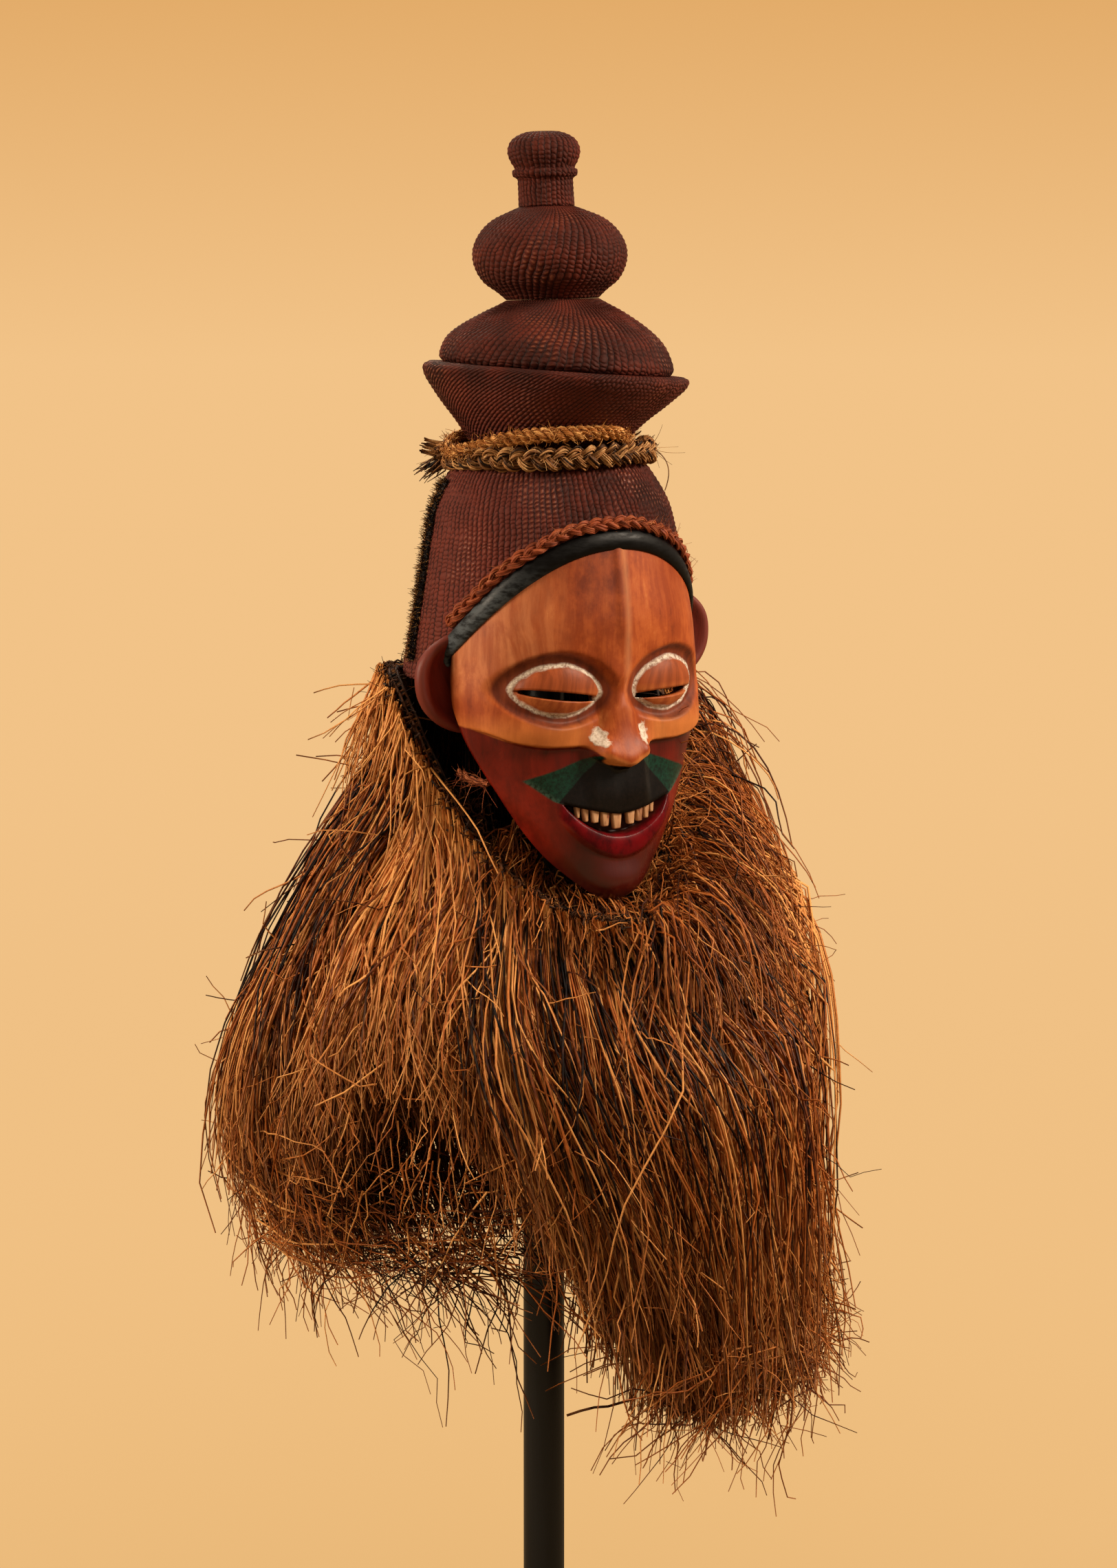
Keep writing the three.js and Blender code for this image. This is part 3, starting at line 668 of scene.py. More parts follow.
painted_wood, tree, shader = new_finish("painted_wood", Coat_Roughness=0.2)
at, x, z, side = mask_place(tree)
streaks, blotches, pores = grain_at(at)
hand = noise(at, 95, 4)
shaky = (hand - 0.5) * 3.4
fine = noise(at, 420, 4, (1, 1, 1), 0.7)

mottle = noise(at, 55, 6, (1, 1, 0.8), 0.7)
tan = ramp(streaks * 0.5 + mottle * 0.5, (0.34, "78300F"), (0.46, "974217"), (0.55, "AA5221"),
           (0.68, "C4733A"))
tan = blend(ramp(blotches, (0.36, 1.0), (0.58, 0.0)) * 0.5, tan, linear("7C3012"))
# Painted shade: the forehead left of its middle line is darkened where less light falls on it.
forehead_painted_shade = edge(852.0 - z, 36.0) * edge(-46.0 - x, 22.0) * edge(x - 2.0, 5.0)
tan = blend(forehead_painted_shade * 0.8, tan, ramp(mottle, (0.35, "541B06"), (0.65, "853812")))
# Painted sheen: the upper face on the -X side is paled where the side light catches it.
temple_painted_sheen = edge(x + 52.0, 16.0) * edge(812.0 - z, 14.0)
tan = blend(temple_painted_sheen * 0.4, tan, ramp(streaks, (0.3, "A8603A"), (0.7, "CC8E62")))
# Painted highlight: a pale strip along the lit side of the keel on the forehead's middle line.
keel_painted_highlight = edge(abs(x - 4.5) - 2.0, 2.6) * edge(800.0 - z, 22.0)
tan = blend(keel_painted_highlight * 0.3, tan, linear("D9A070"))
# Worn paint and a painted highlight make the nose's lower edge pale orange.
nose_edge_wear_and_highlight = edge(z - (side * 0.46 + 752.0), 2.0) * edge(side - 19.0, 3.0)
tan = blend(nose_edge_wear_and_highlight * 0.7, tan, linear("D88A48"))
# Painted highlight: bright orange patches on the cheeks below the eyes, where the light catches them.
cheek_painted_highlight = edge(z - 784.0, 8.0) * edge(26.0 - side, 8.0)
tan = blend(cheek_painted_highlight * blotches * 0.75, tan, linear("DB8C45"))

across = side - EYE_X
rise = z - EYE_Z - across * EYE_TILT
over = calc("GREATER_THAN", rise, 0.0)
tall = over * (EYE_UP - EYE_DOWN) + EYE_DOWN
flat_part = (abs(across) / EYE_HALF) ** EYE_POWER
tall_part = (abs(rise) / tall) ** EYE_POWER
almond = (flat_part + tall_part) ** (1 / EYE_POWER)
reach = (across * across + rise * rise) ** 0.5
away = reach * (1.0 - 1.0 / almond)
away = away + shaky * 0.55
socket_reach = edge(10.0 - across, 14.0) * 3.0 + 8.0
# The groove round each eye is darkened to brown: its paint, with painted shade in the recess, wider on
# the outer side.
socket_paint_and_shade = edge(away - socket_reach, 1.6)
tan = blend(socket_paint_and_shade * 0.86, tan, ramp(streaks, (0.3, "45170A"), (0.7, "6A2911")))
lid = edge(away + 1.0, 0.8)
lid_tone = blend(edge(z - EYE_Z, 2.0), ramp(streaks, (0.3, "76330F"), (0.7, "9C4A20")),
                 ramp(streaks, (0.3, "8A3F1B"), (0.7, "B0602E")))
tan = blend(lid, tan, lid_tone)

red = ramp(streaks, (0.25, "3C0A05"), (0.5, "570F08"), (0.8, "6E190D"))
# Painted light: the red is brightened on the outer cheeks, where the side light falls.
cheek_red_painted_light = edge(44.0 - side, 14.0) * edge(z - 752.0, 10.0)
red = blend(cheek_red_painted_light * ramp(mottle, (0.35, 0.2), (0.6, 0.9)), red, linear("7E1D10"))
red = blend(ramp(blotches, (0.45, 0.0), (0.66, 1.0)) * 0.6, red, linear("330D08"))
dark_chin = edge(z - 690.0 + shaky * 2.0, 10.0)
red = blend(dark_chin * 0.55, red, linear("2E0A07"))
border = drawn_curve(side, 0, 100, border_z, 17) + shaky * 0.45
paint_tone = blend(edge(z - border, 0.7), tan, red)

lip_edge = drawn_curve(side, 0, 52, lip_low)
mouth_edge = drawn_curve(side, 0, 52, mouth_lower)
mouth_top = drawn_curve(side, 0, 52, mouth_upper)
lip_mask = edge(lip_edge + shaky - z, 1.2) * edge(z - (mouth_top + 2.0), 1.0) * edge(side - 47.0, 2.0)
paint_tone = blend(lip_mask, paint_tone, ramp(mottle, (0.35, "34060A"), (0.65, "680A10")))
hollow_mask = edge(mouth_edge + 1.4 - z, 0.7) * edge(z - mouth_top, 0.7) * edge(side - 44.5, 1.5)
paint_tone = blend(hollow_mask, paint_tone, ramp(streaks, (0.3, "1E0806"), (0.7, "3E1710")))

black_side = 774.0 - z
wedge_top = 766.0 - side * (1 / 3)
wedge_low = (side - 50.0) * 0.8 + 727.6
green = (edge(z - (wedge_top + shaky * 0.4), 0.7) * edge(wedge_low + shaky * 0.5 - z, 0.8)
         * edge(z - border, 0.5))
green = green * edge(mouth_top - z, 0.5) * edge(side - 68.5, 1.5)
green_tone = ramp(fine, (0.3, "031710"), (0.7, "0A3527"))
# Painted highlight: a broken pale grey-green line along the lower edge of each green wedge.
green_edge_painted_highlight = edge(z - wedge_low - 3.0, 2.0) * ramp(fine, (0.35, 0.0), (0.6, 1.0))
green_tone = blend(green_edge_painted_highlight * 0.6, green_tone, linear("41564A"))
paint_tone = blend(green, paint_tone, green_tone)
black = (edge(side - (black_side + shaky * 0.35), 0.7) * edge(mouth_top - z, 0.6)
         * edge(z - border, 0.5) * edge(side - 48.0, 1.0))
paint_tone = blend(black, paint_tone, ramp(fine, (0.3, "060404"), (0.75, "130C0A")))

stroke = abs(away - (noise(at, 60, 2) - 0.5) * 3.5)
chalk_ring = edge(stroke - 1.5, 0.8)
dot = ((side - 18.8) ** 2.0 + ((z - 772.5) * 0.82) ** 2.0) ** 0.5
ragged = (noise(at, 210, 3) - 0.5) * 9.0
chalk_dot = edge(dot + (shaky + ragged) - 5.4, 0.8)
brushed = noise(at, 330, 4, (1, 1, 1), 0.75)
ring_cover = chalk_ring * ramp(brushed, (0.36, 0.25), (0.55, 0.95))
chalk = calc("MAXIMUM", ring_cover, chalk_dot * 0.94)
paint_tone = blend(chalk, paint_tone, ramp(fine, (0.3, "A89480"), (0.6, "DDD0BF")))

feed(shader, "Base Color", paint_tone)
rubbed = ramp(blotches, (0.3, 0.44), (0.75, 0.6))
low_gloss = edge(z - border, 1.0)
gloss = rubbed + chalk * 0.3 - low_gloss * 0.2
feed(shader, "Roughness", gloss)
coat = low_gloss - black - lip_mask * 0.95
coat = calc("MULTIPLY", coat, dark_chin * 0.35 + 0.2, clamp=True)
feed(shader, "Coat Weight", coat)
feed(shader, "Specular IOR Level", lip_mask * -0.14 + 0.22)
surface = pores * 0.5 + streaks * 0.5
surface = surface + chalk * 1.3
feed(shader, "Normal", bump(surface, 0.28, 0.0006))

finish_piece("carved_face", face, painted_wood, ["face"])


# The ears: leaves of the same wood that stand out at each side, hollow in front, with a soft
# rolled rim. They are dark red with a rubbed, paler edge. The one on the +X side sits higher.
EAR_REACH = 126.0
EAR_HEIGHT = 75.0
EAR_ROOT = 84.0
EAR_MIDDLE = {-1: 814.0, 1: 837.0}
EAR_COLUMNS = 44
# Each ring of a leaf: its share of the ear's reach, and its depth behind the face's front.
EAR_RINGS = [(0.02, 12.0), (0.45, 12.2), (0.80, 13.6), (0.93, 16.5), (0.99, 20.5), (1.0, 23.5),
             (0.97, 26.6), (0.90, 27.6), (0.82, 26.0), (0.72, 22.6), (0.55, 20.4), (0.30, 19.6),
             (0.02, 19.4)]

ear_wood, tree, shader = new_finish("ear_wood", Roughness=0.5, Specular_IOR_Level=0.3)
streaks, blotches, pores = grain_at(wire(tree, "TexCoord", output="Object"))
worn = wire(tree, "VertexColor", output="Color", layer_name="rim")
tone = ramp(streaks, (0.25, "4A1109"), (0.55, "6A1D10"), (0.8, "82321F"))
worn_share = worn * ramp(blotches, (0.3, 0.35), (0.7, 1.0))
feed(shader, "Base Color", blend(worn_share, tone, linear("6E3226")))
feed(shader, "Normal", bump(pores, 0.3, 0.0005))

ears = bmesh.new()
for hand_side in (-1, 1):
    leaf, across, row = grid_sheet(EAR_COLUMNS, len(EAR_RINGS) - 1)
    turn = (across + 1) * math.pi
    scale = np.interp(row, range(len(EAR_RINGS)), [r for r, _ in EAR_RINGS])
    depth = np.interp(row, range(len(EAR_RINGS)), [d for _, d in EAR_RINGS])
    out = EAR_ROOT + (EAR_REACH - EAR_ROOT) * scale * np.maximum(np.cos(turn), -0.2)
    out += 0.8 * np.sin(3 * turn) * scale
    lobe = np.sign(np.sin(turn)) * np.abs(np.sin(turn)) ** 0.85
    tall = EAR_MIDDLE[hand_side] - 2 + EAR_HEIGHT / 2 * scale * lobe * (1 - 0.1 * np.cos(turn))
    set_places(leaf, hung(np.stack([hand_side * out, -depth, tall], -1)))
    rim_tone = bell((row - 6) / 1.6)
    layer = leaf.verts.layers.float_color.new("rim")
    for vertex, share in zip(leaf.verts, rim_tone):
        vertex[layer] = (share, share, share, 1)
    bmesh.ops.remove_doubles(leaf, verts=leaf.verts, dist=2e-5)
    bmesh.ops.holes_fill(leaf, edges=leaf.edges)
    bmesh.ops.recalc_face_normals(leaf, faces=leaf.faces)
    spare = bpy.data.meshes.new("spare")
    leaf.to_mesh(spare)
    ears.from_mesh(spare)
    bpy.data.meshes.remove(spare)
    leaf.free()
carved_ears = finish_piece("carved_ears", ears, ear_wood)
soft = carved_ears.modifiers.new("soft_carving", "SUBSURF")
soft.levels = soft.render_levels = 1


# The brow band: a half round roll carved along the top of the forehead and lacquered black. The
# lacquer is glossy at the middle and rubbed to a bluish grey towards the temple on the -X side.
BAND_HALF = 7.3
BAND_RISE = 3.4
BAND_SPAN = (-96, 96)
BAND_COLUMNS = 150
BAND_SIDES = 20

lacquer, tree, shader = new_finish("black_lacquer", Specular_IOR_Level=0.13)
at, x, z, _ = mask_place(tree)
scrape = noise(at, 260, 5, (0.35, 0.35, 1), 0.7)
worn = edge(z - 880.0, 16.0) * edge(x + 30.0, 20.0) * ramp(scrape, (0.36, 0.15), (0.6, 1.0))
feed(shader, "Base Color", blend(worn * 0.75, linear("050404"), linear("50565A")))
feed(shader, "Roughness", ramp(scrape, (0.35, 0.32), (0.7, 0.6)))
feed(shader, "Normal", bump(scrape, 0.14, 0.0005))


def brow_frame(degrees):
    """Place, outward direction and upward direction along the arch of the brow."""
    turn = np.clip(degrees, -88, 88)
    arch = lambda t: head_point(t, TEMPLE_Z + (BROW_Z - TEMPLE_Z) * np.cos(np.radians(t)))
    along = unit(arch(turn + 1) - arch(turn - 1))
    place = arch(turn)
    out = head_normal(turn, place[..., 2])
    upward = unit(np.cross(out, along))
    place[..., 2] -= np.maximum(np.abs(degrees) - 88, 0)
    return place, out, upward


def swept_roll(along_count, around_count, degrees, centre, half, rise):
    """A closed roll along the brow, with rounded ends."""
    work = bmesh.new()
    bmesh.ops.create_grid(work, x_segments=along_count, y_segments=around_count, size=1)
    uv = np.array([v.co[:2] for v in work.verts])
    turn = (uv[:, 1] + 1) * math.pi
    t = uv[:, 0]
    place, out, upward = brow_frame(degrees[0] + (t + 1) / 2 * (degrees[1] - degrees[0]))
    close = np.sqrt(np.clip(1 - ((np.abs(t) - 0.97) / 0.03).clip(0, 1) ** 2, 0, 1))
    points = place + upward * (centre + half * close * np.cos(turn))[:, None]
    points += out * (rise * close * np.sin(turn))[:, None]
    set_places(work, hung(points))
    bmesh.ops.remove_doubles(work, verts=work.verts, dist=1e-6)
    bmesh.ops.recalc_face_normals(work, faces=work.faces)
    return work


band = swept_roll(BAND_COLUMNS, BAND_SIDES, BAND_SPAN, -BAND_HALF + 0.6, BAND_HALF, BAND_RISE)
finish_piece("brow_band", band, lacquer)


# The teeth: nine tapered pegs left standing under the upper lip, tan and a little uneven, with a
# gap beside the widest. Each has its place from the middle line and its width.
TEETH = [(-32.5, 4.0), (-27.0, 5.0), (-20.3, 6.5), (-12.3, 7.6), (-3.0, 8.6), (8.8, 7.6), (16.8, 6.2),
         (23.6, 5.2), (29.6, 4.4)]
TOOTH_ROUNDING = 0.0011

tooth_wood, tree, shader = new_finish("tooth_wood", Roughness=0.5, Specular_IOR_Level=0.3)
at = wire(tree, "TexCoord", output="Object")
stain = noise(at, 240, 4, (1, 1, 0.3))
feed(shader, "Base Color", ramp(stain, (0.3, "7A452C"), (0.5, "B88860"), (0.75, "D4AC84")))
feed(shader, "Normal", bump(stain, 0.3, 0.0004))


def plain_front(x, z):
    """Depth of the plain form of the face at a distance from its middle line."""
    share = np.clip(abs(x) / half_width(z), 0, 1) ** (squareness(z) / 2)
    return -head_point(np.degrees(np.arcsin(share)), np.asarray(z, float))[..., 1]


teeth = bmesh.new()
for number, (x_at, wide) in enumerate(TEETH):
    top = mouth_upper(x_at) + 2.5
    low = mouth_upper(x_at) - (10.4 - 5.4 * (x_at / MOUTH_HALF) ** 2) - 0.8 * math.sin(number * 2.1)
    depth = plain_front(x_at, top) + relief(np.array(x_at), np.array(top + 1.0)) - 4.2
    made = bmesh.ops.create_cube(teeth, size=1)["verts"]
    for vertex in made:
        taper = 1.0 if vertex.co.z > 0 else 0.66
        lean = 0.25 * math.sin(number * 1.7) if vertex.co.z < 0 else 0
        spot = np.array([x_at + vertex.co.x * wide * taper + lean,
                         -depth - vertex.co.y * -5.0 * (0.6 + 0.4 * taper),
                         top if vertex.co.z > 0 else low])
        vertex.co = hung(spot)
    edges = list({e for v in made for e in v.link_edges})
    bmesh.ops.bevel(teeth, geom=edges, offset=TOOTH_ROUNDING, segments=3, affect="EDGES",
                    profile=0.5, material=-1)
bmesh.ops.recalc_face_normals(teeth, faces=teeth.faces)
finish_piece("teeth", teeth, tooth_wood)


# The netting: knotted cords in upright ribs over the crown and over the four tiers of the finial.
# Each rib stands out and each knot is a small bead on it. The gaps between them are painted almost
# black as shade, and the knots are dusted with red camwood and rubbed to a shine, their tops painted
# lighter as highlights.
CROWN_Z = 968.0
CAP_HEM_Z = 812.0
CAP_WALL = 5.5
KNOT_PITCH = 3.6
RIB_STEPS = 4
RIB_RISE = 0.85

net_cord, tree, shader = new_finish("net_cord", Specular_IOR_Level=0.13)
place_of = wire(tree, "TexCoord", output="Object")
pull = wire(tree, "TexNoise", {"Vector": place_of, "Scale": 75.0, "Detail": 2.0}, output="Color")
pull = wire(tree, "VectorMath", {0: pull, 1: (0.5, 0.5, 0.5)}, operation="SUBTRACT")
pull = wire(tree, "VectorMath", {0: pull, 1: (0.9, 2.6, 0.0)}, operation="MULTIPLY")
net_at = wire(tree, "UVMap", uv_map="net")
net_at = wire(tree, "VectorMath", {0: net_at, 1: pull}, operation="ADD")
rib_share = calc("FRACT", axis(net_at, "X"))
rib = calc("SINE", rib_share * math.pi)
knot_share = calc("FRACT", axis(net_at, "Y") + rib_share * 0.4)
knot = calc("SINE", knot_share * math.pi)
height = rib ** 0.6 * (knot * 0.7 + 0.3)
wear = noise(place_of, 38, 4)
fuzz = noise(place_of, 900, 3)
cord_tone = blend(fuzz, linear("260C07"), linear("40160C"))
cord_tone = blend(ramp(wear, (0.4, 0.0), (0.68, 0.6)), cord_tone, linear("5E2214"))
net_side, net_height = axis(place_of, "X") * 1000.0, axis(place_of, "Z") * 1000.0
sunlit = edge(net_side + 56.0, 24.0) * edge(net_height - 975.0, 8.0)
cord_tone = blend(sunlit * 0.5, cord_tone, linear("74362C"))
# Painted light: the bowl is lightened to lift the shade under its rim.
bowl_painted_light = edge(abs(net_height - 996.0) - 24.0, 6.0)
cord_tone = blend(bowl_painted_light * 0.42, cord_tone, linear("70362A"))
finial_top = edge(1052.0 - net_height, 10.0)
cord_tone = blend(finial_top * 0.1, cord_tone, linear("7A3426"))
rubbed = noise(place_of, 26, 2)
# The rubbed knot tops are shinier, and in patches they are painted lighter as highlights.
knot_top_rub_and_highlight = ramp(height, (0.72, 0.0), (0.97, 1.0)) * ramp(rubbed, (0.5, 0.03), (0.66, 0.7))
cord_tone = blend(knot_top_rub_and_highlight, cord_tone, linear("7C4632"))
# Painted shade: the low ground between cords and knots is darkened to near black.
cord_tone = blend(ramp(height, (0.16, 0.8), (0.46, 0.0)), cord_tone, linear("160704"))
feed(shader, "Base Color", cord_tone)
feed(shader, "Roughness", ramp(knot_top_rub_and_highlight, (0.1, 0.68), (0.7, 0.3)))
feed(shader, "Normal", bump(fuzz * 0.25 + height, 0.9, 0.0011))


def netted_sheet(columns, rows, shape):
    """A closed form from a grid round the axis; its UV map counts ribs and knots."""
    work = bmesh.new()
    bmesh.ops.create_grid(work, x_segments=columns, y_segments=rows, size=1)
    grid = np.array([v.co[:2] for v in work.verts])
    column = np.rint((grid[:, 0] + 1) / 2 * columns)
    row = np.rint((grid[:, 1] + 1) / 2 * rows)
    places, knots = shape(column, row)
    layer = work.loops.layers.uv.new("net")
    across = column / RIB_STEPS
    for face in work.faces:
        for loop in face.loops:
            index = loop.vert.index
            loop[layer].uv = (across[index], knots[index])
    set_places(work, places)
    bmesh.ops.remove_doubles(work, verts=work.verts, dist=2e-6)
    bmesh.ops.recalc_face_normals(work, faces=work.faces)
    return work


def knotted(column, knots):
    """How far the cords stand out at a grid place, from 0 to 1."""
    rib = np.sin(math.pi * (column / RIB_STEPS % 1))
    return rib * (0.4 + 0.6 * np.sin(math.pi * (knots % 1)) ** 2)


CAP_RIBS = 120


def cap_shape(column, row):
    outer_rows = round((CROWN_Z - CAP_HEM_Z) / KNOT_PITCH) * 2
    base = (column / (CAP_RIBS * RIB_STEPS) * 2 - 1) * 180 + 180
    inner = row > outer_rows + 2
    z = np.where(inner, CAP_HEM_Z + (row - outer_rows - 3) * 17.0, CROWN_Z - (row - 1) * KNOT_PITCH / 2)
    z = np.clip(z, CAP_HEM_Z, CROWN_Z - np.where(inner, CAP_WALL, 0))
    lean = 5.0 * np.sin(np.radians(base + 60)) * (CROWN_Z - z) / 150
    turn = np.where(inner, base, base + lean)
    turn = (turn + 180) % 360 - 180
    arch = TEMPLE_Z + (BROW_Z - TEMPLE_Z) * np.cos(np.radians(np.clip(turn, -90, 90)))
    hem = np.where(np.abs(turn) < 90, arch, np.maximum(TEMPLE_Z - (np.abs(turn) - 90) * 2.6, CAP_HEM_Z))
    z = np.maximum(z, hem)
    raised = RIB_RISE * knotted(column, row / 2) * (1 - inner) * step(hem + 0.1, hem + 2, z)
    points = head_point(turn, z, np.where(inner, CAP_WALL, 0.0))
    points += head_normal(turn, z) * (raised + np.where(inner, 0, 0.35))[:, None]
    closing = (row == 0) | (row == row.max())
    points[closing] = [0, -WIDEST + 6, CROWN_Z]
    points[row == row.max(), 2] -= CAP_WALL
    return hung(points), row / 2


cap_rows = round((CROWN_Z - CAP_HEM_Z) / KNOT_PITCH) * 2 + 14
cap = netted_sheet(CAP_RIBS * RIB_STEPS, cap_rows, cap_shape)
finish_piece("netted_cap", cap, net_cord, ["cap"])

# Where the plane between two tiers stands: sideways, in front of the axis, and its slope.
STACK = {"crown": (-1, 8, 0), "rim": (6.8, 12, 0.095), "dome": (6, 10, 0), "ball": (5, 7, 0),
         "knob": (5, 4, 0)}
# Each tier: its ribs, the planes it stands between, the lean of its ribs and its profile.
TIERS = [
    ("bowl", 110, "crown", "rim", 95.0, [
        (50, 968.3), (53, 975), (60, 984), (69.5, 995), (79.5, 1005), (88.5, 1015), (94, 1022),
        (95.3, 1027.5), (91, 1030.2)]),
    ("disc", 100, "rim", "dome", 44.0, [
        (81, 1030.3), (83.8, 1034), (82.3, 1041), (77, 1051), (67, 1060), (52, 1069.5), (40, 1076),
        (33, 1080)]),
    ("ball", 64, "dome", "ball", 62.0, [
        (33, 1080.3), (39, 1086), (48.5, 1094), (54.2, 1105), (54.8, 1116), (50, 1127), (41, 1136),
        (27, 1143), (20, 1146)]),
    ("knob", 34, "ball", "knob", 0.0, [
        (20, 1146.3), (19.5, 1166), (21, 1167), (23, 1169), (23, 1171.5), (21, 1173.5), (23, 1177),
        (25.3, 1183), (25.3, 1188), (22, 1194), (13, 1198.7), (3, 1199.8)]),
]


def tier_maker(ribs, low, high, lean, profile):
    """The shape of one tier: its profile in even steps, closed at both ends."""
    at = np.array(profile, float)
    length = np.concatenate([[0], np.cumsum(np.hypot(*np.diff(at, axis=0).T))])
    steps = round(length[-1] / (KNOT_PITCH / 2))
    rounded_r = curve_through(list(zip(length, at[:, 0])))
    rounded_z = curve_through(list(zip(length, at[:, 1])))

    def shape(column, row):
        inner = np.clip(row - 1, 0, steps)
        s = inner / steps * length[-1]
        share = s / length[-1]
        r, z = rounded_r(s), rounded_z(s)
        out_r = rounded_z(s + 0.5) - rounded_z(s - 0.5)
        out_z = -(rounded_r(s + 0.5) - rounded_r(s - 0.5))
        size = np.maximum(np.hypot(out_r, out_z), 1e-6)
        raised = (RIB_RISE * np.minimum(1, r / 40 + 0.25) * knotted(column, inner / 2)
                  * np.minimum(1, 4 * np.minimum(share, 1 - share) + 0.2))
        r = r + raised * out_r / size
        z = z + raised * out_z / size
        base = column / (ribs * RIB_STEPS) * math.tau
        turn = base + math.radians(lean) * (share - 0.5) * (0.5 - 0.5 * np.sin(base + 0.6))
        ending = (row == 0) | (row == row.max())
        r = np.where(ending, 0, r)
        x = r * np.sin(turn)
        y = -r * np.cos(turn)
        shift, depth, slope = (np.array(STACK[low]) + (np.array(STACK[high]) - STACK[low])
                               * share[:, None]).T
        z = z - slope * (0.839 * x - 0.545 * y)
        return hung(np.stack([x + shift, y - depth, z], -1)), inner / 2

    return steps, shape


for name, ribs, low, high, lean, profile in TIERS:
    steps, shape = tier_maker(ribs, low, high, lean, profile)
    tier = netted_sheet(ribs * RIB_STEPS, steps + 2, shape)
    finish_piece("netted_" + name, tier, net_cord, ["finial_" + name])


# The brow braid: a thin plait along the cap's front edge. Like all the cordage below it, it is
# many thin fibres that follow the lay of their strand, with loose hairs that curl away.
random = np.random.default_rng(seed=11)
fibre_section = bpy.data.curves.new("fibre_section", "CURVE")
fibre_section.dimensions = "2D"
ring = fibre_section.splines.new("POLY")
ring.points.add(2)
ring.use_cyclic_u = True
for point, turn in zip(ring.points, (90, 210, 330)):
    point.co = (math.cos(math.radians(turn)), math.sin(math.radians(turn)), 0, 1)
fibre_profile = bpy.data.objects.new("fibre_profile", fibre_section)
scene.collection.objects.link(fibre_profile)


ROOM_LOW = (-0.2420, -0.2150, 0.2)
ROOM_HIGH = (0.2430, 0.2395, 1.3)


def fibre_piece(name, fibres, finish, replaced):
    """One mesh of many fibres, each with its points, its radii in millimetres and its tone.

    Points that would pass the room that the mask may take are drawn in.
    """
    fibres = [(np.clip(hung(points), ROOM_LOW, ROOM_HIGH), np.asarray(radii) / 1000, tone)
              for points, radii, tone in fibres]
    curve = bpy.data.curves.new(name, "CURVE")
    curve.dimensions = "3D"
    curve.bevel_mode = "OBJECT"
    curve.bevel_object = fibre_profile
    curve.use_fill_caps = True
    for points, radii, _ in fibres:
        spline = curve.splines.new("POLY")
        spline.points.add(len(points) - 1)
        spline.points.foreach_set("co", np.column_stack([points, np.ones(len(points))]).ravel())
        spline.points.foreach_set("radius", np.asarray(radii, float))
    holder = bpy.data.objects.new(name, curve)
    scene.collection.objects.link(holder)
    shaped = holder.evaluated_get(bpy.context.evaluated_depsgraph_get())
    mesh = bpy.data.meshes.new_from_object(shaped)
    mesh.name = name
    bpy.data.objects.remove(holder)
    bpy.data.curves.remove(curve)
    # The mesh lists the closing triangles of all fibres first, from the last fibre to the first.
    closing = [tone for _, _, tone in reversed(fibres)]
    tones = np.concatenate([np.repeat(closing, 6), np.repeat([tone for _, _, tone in fibres],
                                                             [len(p) * 3 for p, _, _ in fibres])])
    along = np.concatenate([np.tile(np.repeat([1.0, 0.0], 3), len(fibres))]
                           + [np.repeat(np.linspace(0, 1, len(points)), 3) for points, _, _ in fibres])
    for key, values in (("tone", tones), ("along", along)):
        mesh.attributes.new(key, "FLOAT", "POINT").data.foreach_set("value", values)
    work = bmesh.new()
    work.from_mesh(mesh)
    bmesh.ops.remove_doubles(work, verts=work.verts, dist=1e-6)
    work.to_mesh(mesh)
    work.free()
    return hang_piece(name, mesh, finish, replaced)


def fibre_finish(name, dark, middle, light, roughness=0.6, tip=None, shine=0.2):
    """Dry fibre: each fibre has its own tone, with streaks along it and, where a tip colour is given, a
    tip that turns to it.
    """
    finish, tree, shader = new_finish(name, Roughness=roughness, Specular_IOR_Level=shine)
    tone = wire(tree, "Attribute", output="Fac", attribute_name="tone")
    along = wire(tree, "Attribute", output="Fac", attribute_name="along")
    at = wire(tree, "TexCoord", output="Object")
    speck = noise(at, 190, 3)
    mixed = (speck - 0.5) * 0.5 + tone
    colour = ramp(mixed, (0.0, "0D0503"), (0.16, dark), (0.52, middle), (0.95, light), smooth=False)
    if tip:
        colour = blend(ramp(along, (0.55, 0.0), (1.0, 0.55)), colour, linear(tip))
    feed(shader, "Base Color", colour)
    return finish


UP = np.array([0, 0, 1.0])


def run_length(path):
    """How far along a path each of its points lies."""
    return np.concatenate([[0], np.cumsum(np.linalg.norm(np.diff(path, axis=0), axis=1))])


def tone_near(middle, spread):
    """The tone of a fibre, from 0 for dark to 1 for light."""
    return np.clip(random.normal(middle, spread), 0, 1)


def plait(path, sideways, out, half, deep, repeat, fibres, thick, tones, loose=0.0):
    """Three strands of fibres laid over one another along a path in millimetres."""
    length = run_length(path)
    made = []
    for strand in range(3):
        phase = length / repeat * math.tau + strand * math.tau / 3
        side = half * 0.62 * np.sin(phase)
        lift = deep * 0.42 * np.sin(2 * phase) + deep * 0.1
        centre = path + sideways * side[:, None] + out * lift[:, None]
        for number in range(fibres):
            turn = number / fibres * math.tau
            shift = random.normal(0, 0.12)
            r = 0.34 * half * (1 if number % 3 else 0.5)
            wave = turn + phase * 0.5
            offset = (sideways * (r * np.cos(wave) * (1 + shift))[:, None] + out
                      * (r * 0.8 * np.sin(wave))[:, None])
            place = centre + offset + random.normal(0, loose, 3)
            first = random.integers(0, 4)
            last = len(place) - random.integers(0, 4)
            radii = np.full(last - first, thick * random.uniform(0.8, 1.2))
            made.append((place[first:last], radii, random.uniform(*tones)))
    return made


